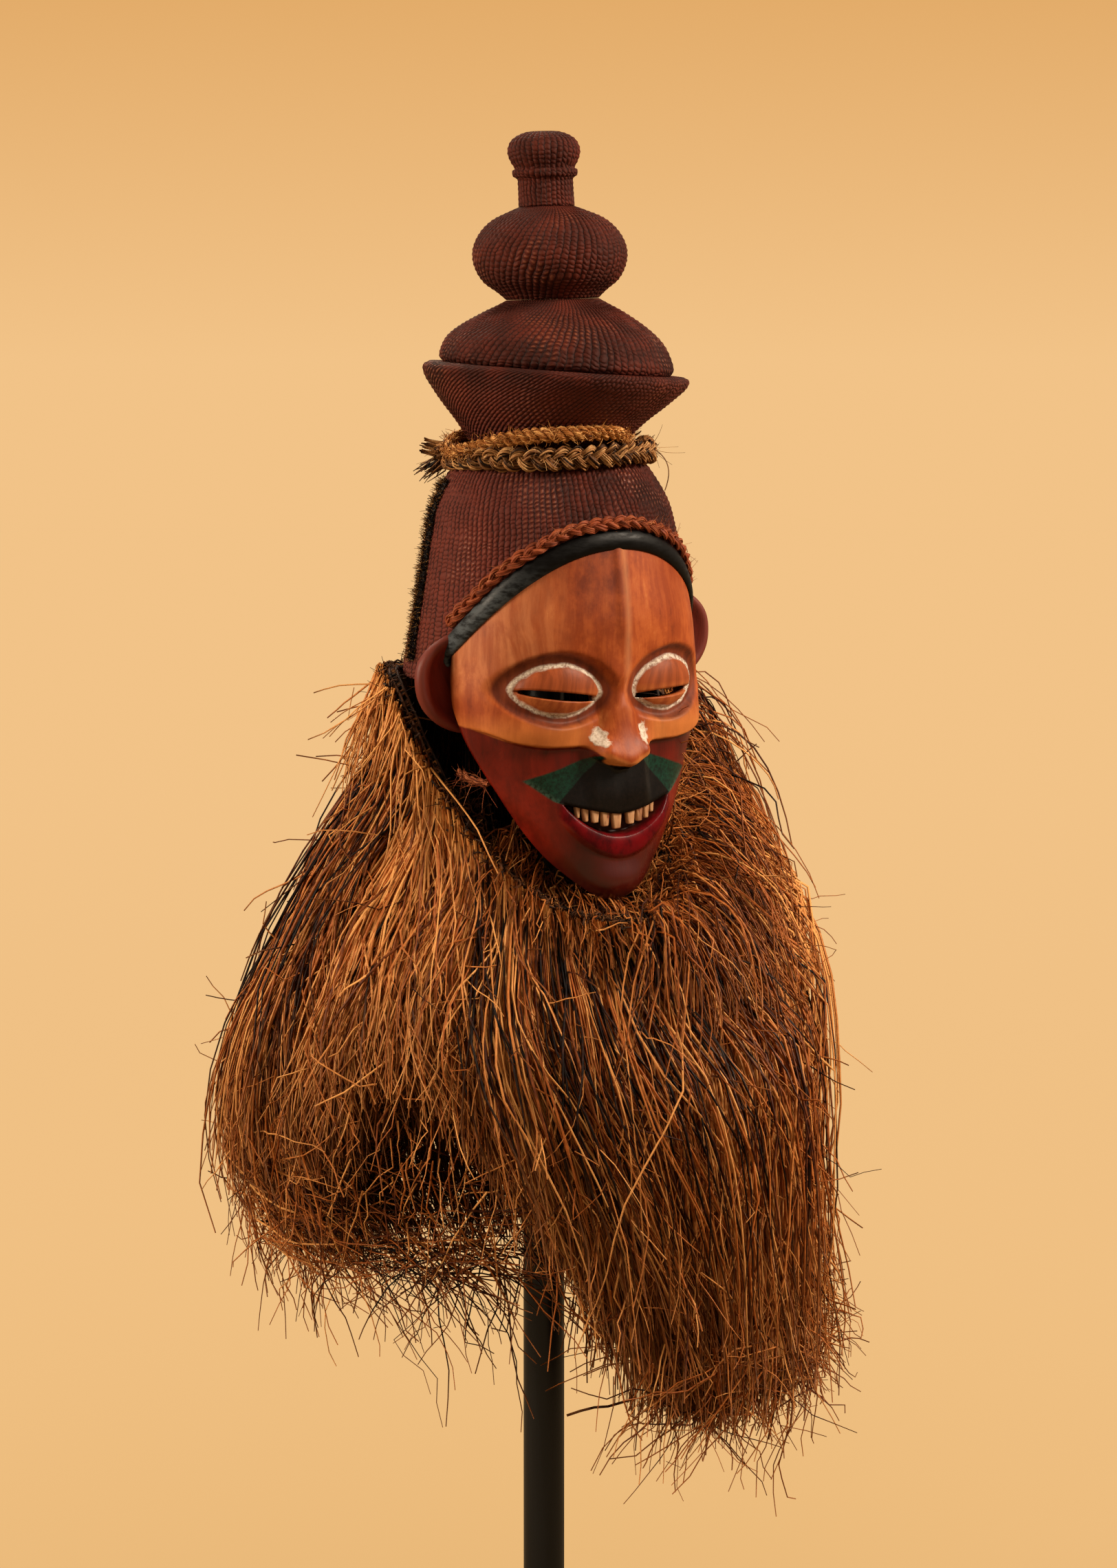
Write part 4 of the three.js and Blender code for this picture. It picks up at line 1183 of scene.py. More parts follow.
def twisted(path, sideways, out, radius, repeat, strands, fibres, thick, tones):
    """Strands of fibres twisted round one another along a path in millimetres."""
    length = run_length(path)
    made = []
    for strand in range(strands):
        phase = length / repeat * math.tau + strand * math.tau / strands
        centre = (path + sideways * (radius * 0.5 * np.cos(phase))[:, None] + out
                  * (radius * 0.5 * np.sin(phase))[:, None])
        for number in range(fibres):
            wave = number / fibres * math.tau - phase * 0.6
            r = radius * 0.42 * random.uniform(0.7, 1.1)
            place = centre + sideways * (r * np.cos(wave))[:, None] + out * (r * np.sin(wave))[:, None]
            made.append((place, np.full(len(place), thick * random.uniform(0.8, 1.2)),
                         random.uniform(*tones)))
    return made


def drawn(value):
    """A value, or a random one where a range is given."""
    return random.uniform(*value) if isinstance(value, tuple) else value


def hair(start, toward, length, bend, thick, tone, steps=5):
    """A loose fibre that leaves its rope and curls away."""
    length, thick, tone = drawn(length), drawn(thick), drawn(tone)
    t = np.linspace(0, 1, steps + 1)[:, None]
    curl = random.normal(0, 1, 3)
    path = start + toward * length * t + curl * bend * t * t
    return path, thick * (1 - 0.6 * t[:, 0]), tone


BRAID_HAIRS = 70

brow_fibre = fibre_finish("brow_fibre", "4A1E0E", "8A4022", "AE6A42")
degrees = np.linspace(-82, 69, 190)
place, out, upward = brow_frame(degrees)
centre = place + upward * (5.4 + 0.6 * np.sin(degrees * 0.21))[:, None] + out * 2.2
fibres = plait(centre, upward, out, 4.7, 3.6, 30.0, 10, 1.0, (0.3, 0.75), 0.16)
for _ in range(BRAID_HAIRS):
    i = random.integers(0, len(degrees))
    toward = unit(upward[i] * random.normal(0.6, 0.6) + out[i] * 0.6 + random.normal(0, 0.6, 3))
    fibres.append(hair(centre[i] + out[i] * 3, toward, (3, 9), 2.5, 0.22, (0.4, 1)))
fibre_piece("brow_braid", fibres, brow_fibre, ["brow_plait"])


def ring_frame(degrees, reach, z, x=0.0, depth=0.0):
    turn = np.radians(degrees)
    out = np.stack([np.sin(turn), -np.cos(turn), np.zeros_like(turn)], -1)
    place = out * np.asarray(reach)[..., None] + np.array([x, -depth, 0])
    place[..., 2] = z
    return place, out, np.broadcast_to(UP, out.shape)


# The wide plait round the finial's foot, tied in a knot at each side. The left knot ends in a flat
# stub over a dark frayed end, and the right one in a short brush and a hanging end.
ROPE_Z = 962.0
KNOT_TURNS = 18
KNOT_HAIRS = 7
FRAYED_HAIRS = 52
BRUSH_HAIRS = 44
ROPE_HAIRS = 170

rope_fibre = fibre_finish("rope_fibre", "40240D", "946236", "C89A64")
degrees = np.linspace(-180, 180, 200)
turn = np.radians(degrees)
rope_out = head_normal(degrees, np.full_like(degrees, ROPE_Z))
rope_out[:, 2] = 0
rope_out = unit(rope_out)
rope_path = head_point(degrees, np.full_like(degrees, ROPE_Z)) + rope_out * 4.2
rope_path[:, 2] = 969.5 + 0.8 * np.sin(3 * turn)
upright = np.broadcast_to(UP, rope_path.shape)
fibres = plait(rope_path, upright, rope_out, 8.6, 6.0, 30.0, 17, 0.75, (0.0, 0.95), 0.55)
LEFT_KNOT = np.array([-66, 28, 973.0])
RIGHT_KNOT = np.array([58, -46, 973.0])
KNOT_REACH = 8.0
for middle in (LEFT_KNOT, RIGHT_KNOT):
    away = unit(middle * [1, 1, 0])
    for _ in range(KNOT_TURNS):
        tilt = random.normal(0, 1, 3)
        first = unit(np.cross(tilt, [0.3, 0.2, 1]))
        second = unit(np.cross(first, tilt))
        wave = np.linspace(0, 5.4, 12)[:, None]
        round_knot = (first * np.cos(wave) + second * np.sin(wave)) * KNOT_REACH
        place = middle + round_knot * random.uniform(0.6, 0.95)
        fibres.append((place, np.full(12, 1.4), random.uniform(0, 0.85)))
    for _ in range(KNOT_HAIRS):
        toward = unit(away + random.normal(0, 0.5, 3) + [0, 0, -0.6])
        fibres.append(hair(middle + away * 4, toward, (8, 20), 9, 0.3, (0.1, 0.9), 9))
toward_left = unit(np.array([-0.80, 0.45, 0.25]))
for across in np.linspace(-5, 5, 9):
    for deep in (-1.6, 1.6):
        root = LEFT_KNOT + np.array([0.3 * across, 0.2 * deep, across]) + [0, deep, 1]
        fibres.append(hair(root, toward_left, 16 + random.uniform(-1.2, 1.2), 0.8, 1.25, (0.25, 0.7),
                           4))
for _ in range(FRAYED_HAIRS):
    toward = unit(np.array([-0.78, 0.42, -0.62]) + random.normal(0, 0.13, 3))
    root = LEFT_KNOT + random.normal(0, 2.8, 3) + [0, 0, -5]
    fibres.append(hair(root, toward, (12, 20), 2.5, (0.6, 1.0), (0, 0.35), 4))
for _ in range(BRUSH_HAIRS):
    toward = unit(np.array([0.75, -0.5, random.uniform(-0.45, 0.55)]) + random.normal(0, 0.16, 3))
    root = RIGHT_KNOT + random.normal(0, 3, 3) - [4, -3, 0]
    fibres.append(hair(root, toward, (6, 12), 3, (0.5, 1.2), (0.1, 0.9), 4))
t = np.linspace(0, 1, 14)[:, None]
curl = RIGHT_KNOT + np.array([13, -9, 0]) * np.sin(2.3 * t) + np.array([2, -1, -32]) * t ** 1.6
fibres.append((curl, np.full(14, 0.5), 0.3))
for _ in range(ROPE_HAIRS):
    i = random.integers(0, len(degrees))
    toward = unit(rope_out[i] * 0.7 + random.normal(0, 0.7, 3))
    fibres.append(hair(rope_path[i] + rope_out[i] * 3, toward, (3, 8), 3, 0.24, (0.3, 1)))
fibre_piece("rope_plait", fibres, rope_fibre, ["tie_plait"])


# The twisted cord lies on the plait, round the bowl's foot. On the left it drops over the plait, and
# on the right it dips behind it. Short fuzz covers it.
CORD_FUZZ = 1900

cord_fibre = fibre_finish("cord_fibre", "6E3A14", "B07034", "DDA562")
bowl_reach = curve_through([(968, 50), (975, 53), (984, 60), (995, 69.5)])
over = np.exp(-((degrees + 96) / 32) ** 2)
dips = np.exp(-((degrees - 52) / 24) ** 2)
cord_z = 984.4 + 1.5 * np.cos(turn) - 10 * over - 15 * dips
cord_reach = (bowl_reach(np.maximum(cord_z, 976) + 2) + 5.6 + 0.6 * np.sin(7 * turn) + 12 * over
              - 8 * dips)
cord_path, cord_out, cord_up = ring_frame(degrees, cord_reach, cord_z, -1, 8.5)
fibres = twisted(cord_path, cord_up, cord_out, 6.0, 19.0, 3, 12, 0.75, (0.1, 1.0))
for _ in range(CORD_FUZZ):
    i = random.integers(0, len(degrees))
    toward = unit(cord_out[i] * 0.8 + cord_up[i] * random.normal(0.1, 0.7) + random.normal(0, 0.5, 3))
    fibres.append(hair(cord_path[i] + cord_out[i] * 2.5 + random.normal(0, 2.4, 3), toward, (1.5, 5),
                       2.2, 0.34, (0.2, 1), 3))
fibre_piece("twisted_cord", fibres, cord_fibre, ["tie_cord"])


# The bristly strip down the side of the cap: short dark bristles over a few long fibres, with a row
# of tan ones along the edge toward the back.
SEAM_BRISTLES = 2600

seam_fibre = fibre_finish("seam_fibre", "120A08", "2A1610", "B88448")
seam_z = np.linspace(952, 826, 60)
seam_turn = np.full_like(seam_z, -107.0)
seam_out = head_normal(seam_turn, seam_z)
seam_path = head_point(seam_turn, seam_z) + seam_out * 1.4
seam_side = unit(np.cross(seam_out, np.gradient(seam_path, axis=0)))
fibres = []
for _ in range(SEAM_BRISTLES):
    i = random.integers(0, len(seam_z))
    side = random.uniform(-5.4, 5.4)
    base = seam_path[i] + seam_side[i] * side + [0, 0, random.uniform(-1.2, 1.2)]
    toward = unit(seam_out[i] + seam_side[i] * side * 0.12 + random.normal(0, 0.45, 3))
    outward_side = side * np.sign(seam_side[i][1]) > 1.4
    tone = (random.uniform(0.6, 1.0) if random.random() < (0.8 if outward_side else 0.12)
            else random.uniform(0, 0.45))
    length = random.uniform(3, 5.4) + 1.2 * outward_side
    fibres.append(hair(base - seam_out[i], toward, length, 1.2, 0.36, tone, 3))
for side in np.linspace(-4, 4, 9):
    place = seam_path + seam_side * side + random.normal(0, 0.3, seam_path.shape)
    fibres.append((place, np.full(len(place), 1.1), random.uniform(0, 0.3)))
fibre_piece("bristle_seam", fibres, seam_fibre, ["seam_strip"])


# The collar: a band of dark knotted fibre that runs behind the ears and under the chin. Every
# strand of the fringe is looped over it, which leaves a row of knots with short stubs.
loop_reach = curve_through([
    (0, 102), (30, 82), (60, 84), (85, 98), (105, 112), (140, 110), (180, 110)])
loop_height = curve_through([
    (0, 628), (30, 640), (60, 674), (85, 732), (105, 796), (140, 806), (180, 806)])


def loop_frame(degrees, outward=0.0, up=0.0):
    side = np.abs((np.asarray(degrees) + 180) % 360 - 180)
    return ring_frame(degrees, loop_reach(side) + outward, loop_height(side) + up)


COLLAR_LOOPS = 620
COLLAR_TANGLE = 2300
COLLAR_HAIRS = 1100

collar_fibre = fibre_finish("collar_fibre", "1C0E06", "583216", "B07840", 0.7)
degrees = np.linspace(-180, 180, 130)
fibres = []
for up in np.linspace(-10.5, 10.5, 9):
    for outward in (-2.6, 2.6):
        place, _, _ = loop_frame(degrees, outward, up)
        place[1:-1] += random.normal(0, 0.4, place[1:-1].shape)
        fibres.append((place, np.full(len(place), 2.0), random.uniform(0, 0.4)))
for number in range(COLLAR_LOOPS):
    turn_at = -180 + number / COLLAR_LOOPS * 360 + random.normal(0, 0.25)
    wave = np.linspace(-0.4, math.tau - 1.0, 9)
    tilt = random.normal(0, 0.9)
    place, _, _ = loop_frame(turn_at + tilt * np.sin(wave) * 0.6, 4.6 * np.cos(wave),
                             12.2 * np.sin(wave))
    fibres.append((place, np.full(9, 0.95) * random.uniform(0.8, 1.25), random.uniform(0, 0.75)))
for number in range(COLLAR_TANGLE):
    turn_at = random.uniform(-180, 180) if number % 3 else random.uniform(-85, 20)
    inner_edge = -28 if number % 3 == 0 else 2
    place, out, _ = loop_frame(turn_at, random.uniform(inner_edge, 9), random.uniform(-14, 13))
    wave = np.linspace(0, random.uniform(2.5, 5.5), 6)[:, None]
    first = unit(random.normal(0, 1, 3) + out)
    second = unit(np.cross(first, random.normal(0, 1, 3)))
    loop = place + (first * np.cos(wave) + second * np.sin(wave)) * random.uniform(2, 4.5)
    fibres.append((loop, np.full(6, random.uniform(0.45, 0.9)), random.uniform(0.05, 0.55)))
for _ in range(COLLAR_HAIRS):
    turn_at = random.uniform(-180, 180)
    place, out, _ = loop_frame(turn_at, random.uniform(-2, 7), random.uniform(-12, 13))
    toward = unit(out * random.uniform(-0.3, 1.1) + random.normal(0, 0.6, 3) + [0, 0, 0.1])
    tone = random.uniform(0.2, 1) * (0.3 if abs(turn_at) > 92 else 1)
    fibres.append(hair(place, toward, (4, 12), 5, 0.45, tone, 4))
fibre_piece("knotted_collar", fibres, collar_fibre, ["collar_band"])


# The lashings: a short twisted cord at each side ties the jaw to the collar. Loose hairs stand off
# it, most of them outward.
LASHING_HAIRS = 46

for side in (-1, 1):
    t = np.linspace(0, 1, 30)[:, None]
    path = np.array([side * 88, -16, 747.0]) + np.array([side * -8, -28, -6]) * t
    path[:, 2] -= 2.5 * np.sin(t[:, 0] * math.pi)
    out = np.broadcast_to([side * 1.0, 0, 0], path.shape)
    up = np.broadcast_to(UP, path.shape)
    fibres = twisted(path, up, out, 3.0, 22, 3, 7, 0.55, (0.2, 0.9))
    for _ in range(LASHING_HAIRS):
        start = path[random.integers(0, len(path))] + random.normal(0, 1.2, 3)
        toward = unit(random.normal(0, 1, 3) + [side * 0.6, -0.2, -0.3])
        fibres.append(hair(start, toward, (5, 17), 5, 0.35, (0.1, 0.9), 5))
    name = "left" if side < 0 else "right"
    fibre_piece("jaw_lashing_" + name, fibres, brow_fibre, ["lashing_" + name])


# The fringe: thousands of raffia strands looped over the collar. They fall in locks, kink where
# they were folded and end in tangled tips. At the back and the left they curl inwards at the hem.
# Toward each direction, in degrees from the face's front, the fringe's reach by height.
FRINGE_SPREAD = [(toward, curve_through(rows)) for toward, rows in [
    (-123, [(350, 200), (395, 224), (445, 241), (495, 248), (545, 242), (595, 224), (695, 166),
            (800, 122)]),
    (-33, [(340, 168), (395, 178), (445, 184), (495, 182), (545, 172), (595, 152), (645, 128),
           (745, 120)]),
    (50, [(240, 150), (270, 176), (300, 195), (345, 199), (445, 190), (545, 186), (645, 177),
          (745, 170)]),
    (97, [(300, 190), (345, 199), (445, 194), (545, 192), (645, 194), (700, 204), (745, 214),
          (775, 214)]),
    (155, [(350, 180), (395, 196), (445, 202), (545, 192), (645, 172), (695, 158), (745, 146),
           (800, 126)])]]
hem_height = curve_through([
    (-180, 386), (-150, 390), (-123, 402), (-82, 400), (-58, 396), (-42, 400), (-32, 360),
    (-19, 312), (0, 286), (16, 282), (40, 290), (57, 312), (80, 340), (110, 366), (147, 384),
    (180, 386)])
open_share = curve_through([
    (-180, 0.3), (45, 0.32), (80, 0.12), (95, 0.06), (115, 0.07), (150, 0.2), (180, 0.3)])


def fringe_spread(degrees, z):
    total = weight = 0
    for toward, spread in FRINGE_SPREAD:
        away = np.abs((degrees - toward + 540) % 360 - 180) / 95
        share = np.cos(np.minimum(away, 1) * math.pi / 2) ** 2
        total, weight = total + spread(z) * share, weight + share
    return total / weight


raffia = fibre_finish("raffia", "48200E", "A65A24", "E0A05C", 0.5, tip="8E562A", shine=0.14)
LOCK_STEP = 5.2
locks = []
for number in range(round(360 / LOCK_STEP)):
    at = -180 + (number + random.uniform(-0.3, 0.3)) * LOCK_STEP
    sweep = (27 * math.exp(-((at + 38) / 42) ** 2) - 7 * math.exp(-((at - 70) / 35) ** 2)
             + random.normal(0, 6))
    locks.append((at, sweep, random.normal(0, 8, 2), random.uniform(0, math.tau, 2),
                  0.5 + 0.5 * random.uniform(0.82, 1.0), random.normal(0, 0.085),
                  random.uniform(0, 22)))


def surface_reach(turn, z, layer=0.0):
    """The fringe's outline at a height, after its strands have opened from the collar."""
    side = np.abs((turn + 180) % 360 - 180)
    from_top = loop_height(side) + 8 - z
    share = np.clip(from_top / np.maximum(loop_height(side) + 8 - hem_height(turn), 1), 0, 1)
    opened = step(0, np.maximum(open_share(turn), 0.17 + 0.08 * layer), share)
    start = loop_reach(side) + 8
    return start + (fringe_spread(turn, np.maximum(z, 240)) - start) * opened, share


def raffia_strand(lock, layer, steps):
    """One strand from the collar to its tip. Layer 0 is the outermost, 1 the innermost."""
    at, sweep, swing, phase, reach_down, shade, sunk = lock
    t = np.linspace(0, 1, steps + 1)
    loose = step(0.02, 0.3, t)
    far_side = math.exp(-((at - 85) / 38) ** 2)
    rogue = random.random() < 0.19 + 0.22 * far_side
    own = at + random.normal(0, LOCK_STEP * 0.42)
    side_mm = swing[0] * np.sin(t * 5.2 + phase[0]) * 1.2 * loose
    deep_mm = swing[1] * np.sin(t * 4.4 + phase[1]) * (0.8 + 0.7 * far_side) * loose
    for wide, rate in ((3.6, random.uniform(4, 9)), (2.1, random.uniform(10, 19))):
        side_mm = side_mm + random.normal(0, wide) * np.sin(t * rate + random.uniform(0, 6)) * loose
        deep_mm = (deep_mm + random.normal(0, wide * 0.6) * np.sin(t * rate + random.uniform(0, 6))
                   * loose)
    swept = sweep + random.normal(0, 18 if rogue else 4.5)
    turn = own + swept * step(-0.15, 1.15, t) + side_mm * 0.34
    turn = (turn + 180) % 360 - 180
    behind = abs((own + 180) % 360 - 180) > 112
    length = reach_down * random.uniform(0.80, 0.98)
    if random.random() < 0.22:
        length = random.uniform(0.35, 0.85)
    elif behind and layer > 0.3:
        length = random.uniform(0.94, 1.05)
    elif -25 < own < 60:
        length = random.uniform(0.86, 1.02)
    top = loop_height(abs((own + 180) % 360 - 180)) + random.uniform(-10, 10)
    hollow = (110 if layer < 0.6 else 84) * math.exp(-((turn[-1] + 67) / 23) ** 2)
    z = top + (hem_height(turn[-1]) + hollow - top) * t * length
    spread, share = surface_reach(turn, z, layer)
    curled = step(0, 20, np.where(turn < 0, -42 - turn, turn - 110)) * step(0.86, 1.04, share)
    sunken = sunk * np.where(np.abs(turn + 120) < 50, 0.5, 1)
    left_side = math.exp(-((at + 122) / 40) ** 2)
    inward = (layer * (5 + 40 * np.minimum(share * 2, 1)) + (5 - 8 * left_side + sunken)
              * step(0.05, 0.35, share) + curled * 24)
    if random.random() < 0.022:
        inward = -random.uniform(3, 14) * step(0.1, 0.5, t) * (1 - 0.5 * t)
    reach = spread - inward + np.minimum(deep_mm, 4 + 6 * far_side)
    path = np.stack([reach * np.sin(np.radians(turn)), -reach * np.cos(np.radians(turn)), z], -1)
    if random.random() < 0.55:
        kink = random.integers(2, steps)
        path[kink:] += random.normal(0, 7.5, 3) * np.linspace(0.3, 1, steps + 1 - kink)[:, None]
    tip = random.normal(0, 1, 3) * random.uniform(2, 11)
    path += tip * step(0.74, 1.05, t)[:, None] ** 1.5
    radii = random.uniform(0.55, 1.2) * np.interp(t, [0, 0.6, 1], [1.0, 0.95, 0.5])
    # The tone holds painted shade and light: inner layers, sunken locks and inner strands at the back
    # are darker as painted shade, and the far side and the front-right lobe are lighter as painted
    # light.
    depth_shade = (0.82 - 0.5 * far_side) * layer + (0.18 if behind and layer > 0.4 else 0)
    tone = np.clip(random.normal(0.68 + 0.16 * far_side + 0.08 * math.exp(-((at - 15) / 30) ** 2)
                                 + shade - depth_shade - 0.008 * sunk, 0.26) + 0.1 * rogue, 0, 1)
    return path, radii, tone


def broken(start, toward, count, stride, thick, tone, kinks=0.3, bend=0.1):
    """A stray strand: straight runs between sharp bends."""
    stride, thick, tone = drawn(stride), drawn(thick), drawn(tone)
    path = [np.array(start, float)]
    for _ in range(count):
        turned = random.normal(0, 0.6 if random.random() < kinks else bend, 3)
        toward = unit(toward + turned + [0, 0, -0.05])
        path.append(path[-1] + toward * stride * random.uniform(0.6, 1.3))
    return np.array(path), np.full(count + 1, thick) * np.linspace(1, 0.6, count + 1), tone


def held_in(path):
    """The path with whatever stands off the fringe drawn back to it."""
    turns = np.degrees(np.arctan2(path[:, 0], -path[:, 1]))
    reach = np.hypot(path[:, 0], path[:, 1])
    limit = surface_reach(turns, path[:, 2])[0] + 2
    kept = np.where(reach > limit, limit + (reach - limit) * 0.25, reach) / np.maximum(reach, 1)
    return path * np.stack([kept, kept, np.ones_like(kept)], -1)


# Each bundle of the fringe: the directions it spans and its count of strands.
BUNDLES = [("back_left", -180, -115, 2000), ("left", -115, -62, 2350), ("front_left", -62, -15, 2600),
           ("front_right", -15, 40, 2600), ("right", 40, 105, 2600), ("back_right", 105, 180, 1900)]
for name, low, high, count in BUNDLES:
    here = [lock for lock in locks if low <= lock[0] < high]
    fibres = []
    for number in range(count):
        layer = random.random() ** 1.4
        fibres.append(raffia_strand(here[number % len(here)], layer, 11 if layer < 0.5 else 7))
    fibre_piece("raffia_" + name, fibres, raffia, ["fringe"])


def fringe_place(turn, z, inward):
    reach = float(surface_reach(turn, z)[0]) - inward
    out = np.array([math.sin(math.radians(turn)), -math.cos(math.radians(turn)), 0])
    return out * reach + [0, 0, z], out


# The nest: tips that lie along the hem and tangle under it, with long arcs round the left side,
# short curls at the right front and a few tips that hang below the hem.
NEST_ARCS = 170
NEST_TIPS = 1000
NEST_CURLS = 260
HANGING_TIPS = 54

fibres = []
for _ in range(NEST_ARCS):
    first = random.uniform(-190, -118)
    turns = first + np.linspace(0, random.uniform(15, 45), 9)
    low = random.uniform(392, 480)
    heights = (low + np.linspace(random.uniform(0, 60), 0, 9) + random.normal(0, 5)
               * np.sin(np.linspace(0, 7, 9)))
    reach = (surface_reach(turns, heights)[0] - random.uniform(-3, 26)
             - np.linspace(0, random.uniform(0, 26), 9))
    arc = np.stack([reach * np.sin(np.radians(turns)), -reach * np.cos(np.radians(turns)), heights], -1)
    fibres.append((arc + random.normal(0, 1.6, (9, 3)), np.full(9, random.uniform(0.45, 0.9)),
                   tone_near(0.6, 0.24)))
for _ in range(NEST_TIPS):
    back = random.random() < 0.7
    turn = random.uniform(-190, -42) if back else random.uniform(-5, 85)
    hem = float(hem_height((turn + 180) % 360 - 180))
    open_side = math.exp(-((turn + 66) / 22) ** 2)
    z = hem + (random.uniform(0, 100) * (1 - 0.72 * open_side) if back else random.uniform(10, 60))
    start, out = fringe_place(turn, z, random.uniform(2, 50))
    around = np.cross(out, UP) * random.choice([-1, 1])
    toward = unit(around * random.uniform(0.3, 1) - out * random.uniform(-0.1, 0.5)
                  + [0, 0, random.uniform(-0.7, 0.3)])
    # Painted shade: tips in the open hollow on the left are darker.
    tone = tone_near(0.46 - 0.36 * open_side, 0.2)
    path, radii, tone = broken(start, toward, 7, (10, 19), (0.45, 0.85), tone, 0.15, 0.2)
    fibres.append((held_in(path), radii, tone))
for _ in range(NEST_CURLS):
    turn = random.uniform(20, 88)
    start, out = fringe_place(turn, random.uniform(292, 350), random.uniform(2, 40))
    toward = unit(out * random.uniform(-0.2, 1) + random.normal(0, 0.45, 3)
                  + [0, 0, random.uniform(-0.5, 0.4)])
    fibres.append(broken(start, toward, 5, (5, 11), (0.45, 0.8), (0.2, 0.8), 0.3, 0.25))
for _ in range(HANGING_TIPS):
    turn = random.uniform(-180, 180)
    z = float(hem_height(turn)) + random.uniform(10, 40)
    start, out = fringe_place(turn, z, random.uniform(8, 40))
    toward = unit(out * random.normal(0.1, 0.35) + random.normal(0, 0.25, 3) + [0, 0, -1.0])
    fibres.append(broken(start, toward, 4, (9, 22), (0.42, 0.6), (0.1, 0.6)))
fibre_piece("raffia_nest", fibres, raffia, ["fringe"])


# Strays: strands that cross the locks, and some that stand off the fringe. Others fall straight
# from the collar on the left, and one short dark stick lies beside the post.
STRAYS = 1700
STANDING_OFF = 300
FALLING = 190

fibres = []
for number in range(STRAYS):
    stand_off = number < STANDING_OFF
    turn = random.uniform(-180, 180)
    z = random.uniform(float(hem_height(turn)) + 30, float(loop_height(abs(turn))) - 34 * stand_off)
    start, out = fringe_place(turn, z, random.uniform(-6, 5) if stand_off else random.uniform(2, 9))
    below, _ = fringe_place(turn + random.normal(0, 5), z - 40, random.uniform(2, 9))
    lift = random.uniform(0.0, 0.4) if stand_off else random.uniform(-0.1, 0.1)
    toward = unit(unit(below - start) + out * lift + random.normal(0, 0.16, 3)
                  - [0, 0, 0.5 * stand_off])
    thick = random.uniform(0.42, 0.62) if stand_off else random.uniform(0.55, 1.0)
    fibres.append(broken(start, toward, 5, random.uniform(7, 17), thick, tone_near(0.55, 0.25),
                         0.42 if stand_off else 0.15, 0.12))
for _ in range(FALLING):
    turn = random.uniform(-136, -84)
    place, out, _ = loop_frame(turn, random.uniform(6, 11), random.uniform(6, 15))
    toward = unit(out * random.uniform(0.05, 0.4) + random.normal(0, 0.07, 3) + [0, 0, -1])
    fibres.append(broken(place, toward, 6, (8, 22), (0.6, 1.0), (0.6, 1.0), 0.1))
stick_turn = np.radians(np.linspace(-14, -33, 6))
stick_z = [307, 305, 303, 303, 301, 298.0]
stick = np.stack([148 * np.sin(stick_turn), -148 * np.cos(stick_turn), stick_z], -1)
fibres.append((stick, np.full(6, 1.1), 0.05))
fibre_piece("raffia_strays", fibres, raffia, ["fringe"])


# The ruff: on the +X side the strands rise from behind the jaw, hide the collar and fall in loose
# arcs. Shorter ones fill the gap between the jaw and the collar on the other side, toned dark as
# painted shade.
JAW_STRANDS = 760
RUFF_CURLS = 170
RUFF_ARCS = 1500
CHIN_TANGLE = 500

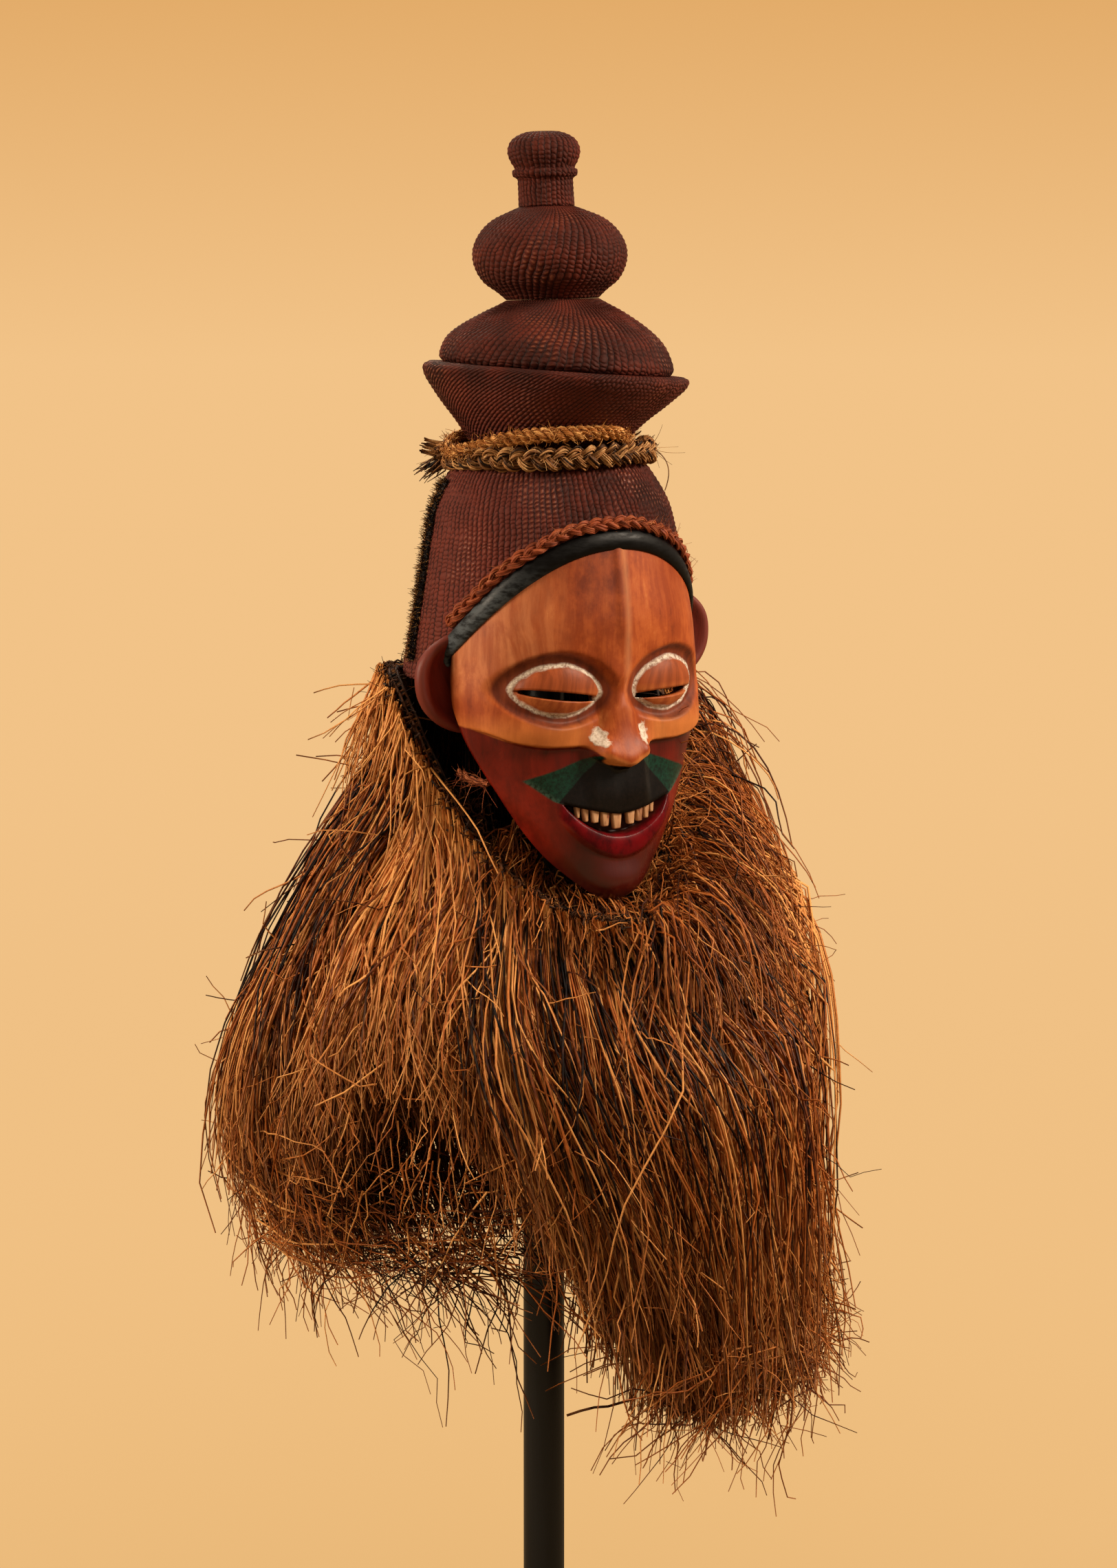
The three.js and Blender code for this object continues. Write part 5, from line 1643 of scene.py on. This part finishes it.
fibres = []
for _ in range(JAW_STRANDS):
    turn = random.uniform(-64, 6)
    inward = random.uniform(8, 36)
    place, out, _ = loop_frame(turn, -inward, 0.85 * inward - 3 + random.normal(0, 4.5))
    around = np.cross(UP, out)
    t = np.linspace(0, 1, 7)[:, None]
    path = place + out * random.uniform(10, 48) * t + around * random.normal(-4, 10) * t
    path = (path + UP * (random.uniform(0, 6) * np.sin(math.pi * t)
                                            - random.uniform(12, 56) * t ** 1.4))
    path = path + random.normal(0, 2.2, 3) * np.sin(t * random.uniform(4, 12))
    # Painted shade: these strands are toned dark for the shade in the gap.
    fibres.append((path, np.linspace(1, 0.6, 7) * random.uniform(0.55, 0.95),
                   tone_near(0.36, 0.22)))
for _ in range(RUFF_CURLS):
    turn = random.uniform(36, 82)
    start, out = fringe_place(turn, random.uniform(590, 775), random.uniform(-4, 6))
    toward = unit(out * random.uniform(0.1, 0.9) + random.normal(0, 0.35, 3)
                  + [0, 0, random.uniform(-1.0, 0.1)])
    fibres.append(broken(start, toward, 5, (4, 10), (0.4, 0.6), (0.2, 0.7), 0.5, 0.2))
for _ in range(RUFF_ARCS):
    turn = random.uniform(4, 118)
    place, out, _ = loop_frame(turn, random.uniform(-8 if turn < 85 else 4, 12),
                               random.uniform(-8, 15 if turn < 85 else 0))
    around = np.cross(UP, out)
    t = np.linspace(0, 1, 9)[:, None]
    room = float(fringe_spread(turn, place[2] - 20) - loop_reach(turn)) - 8
    reach = room * random.uniform(0.02, 1.0) ** 0.8
    drop = random.uniform(50, 190)
    path = (place + out * reach * (1 - (1 - t) ** random.uniform(1.2, 2.2)) + around
            * random.normal(-8, 34) * t)
    path = (path + UP * (random.uniform(0, 20) * np.sin(math.pi * t ** 0.7) - drop
                                            * t ** random.uniform(1.1, 1.8)))
    path = path + random.normal(0, 3.2, 3) * np.sin(t * random.uniform(4, 13))
    if random.random() < 0.5:
        kink = random.integers(2, 7)
        path[kink:] += random.normal(0, 8, 3) * np.linspace(0.3, 1, 9 - kink)[:, None]
    tone = tone_near(0.38, 0.24) * (0.6 if turn > 96 else 1)
    fibres.append((path, np.linspace(1, 0.6, 9) * random.uniform(0.55, 1.05), tone))
for _ in range(CHIN_TANGLE):
    place, out, _ = loop_frame(random.uniform(8, 80), random.uniform(-14, 6), random.uniform(-6, 14))
    toward = unit(out * random.uniform(-0.5, 0.8) + random.normal(0, 0.5, 3) + [0, -0.3, -0.2])
    fibres.append(broken(place, toward, 4, random.uniform(5, 11), random.uniform(0.5, 0.9),
                         tone_near(0.5, 0.25), 0.3, 0.25))
fibre_piece("raffia_ruff", fibres, raffia, ["fringe"])
bpy.data.objects.remove(fibre_profile)
bpy.data.curves.remove(fibre_section)
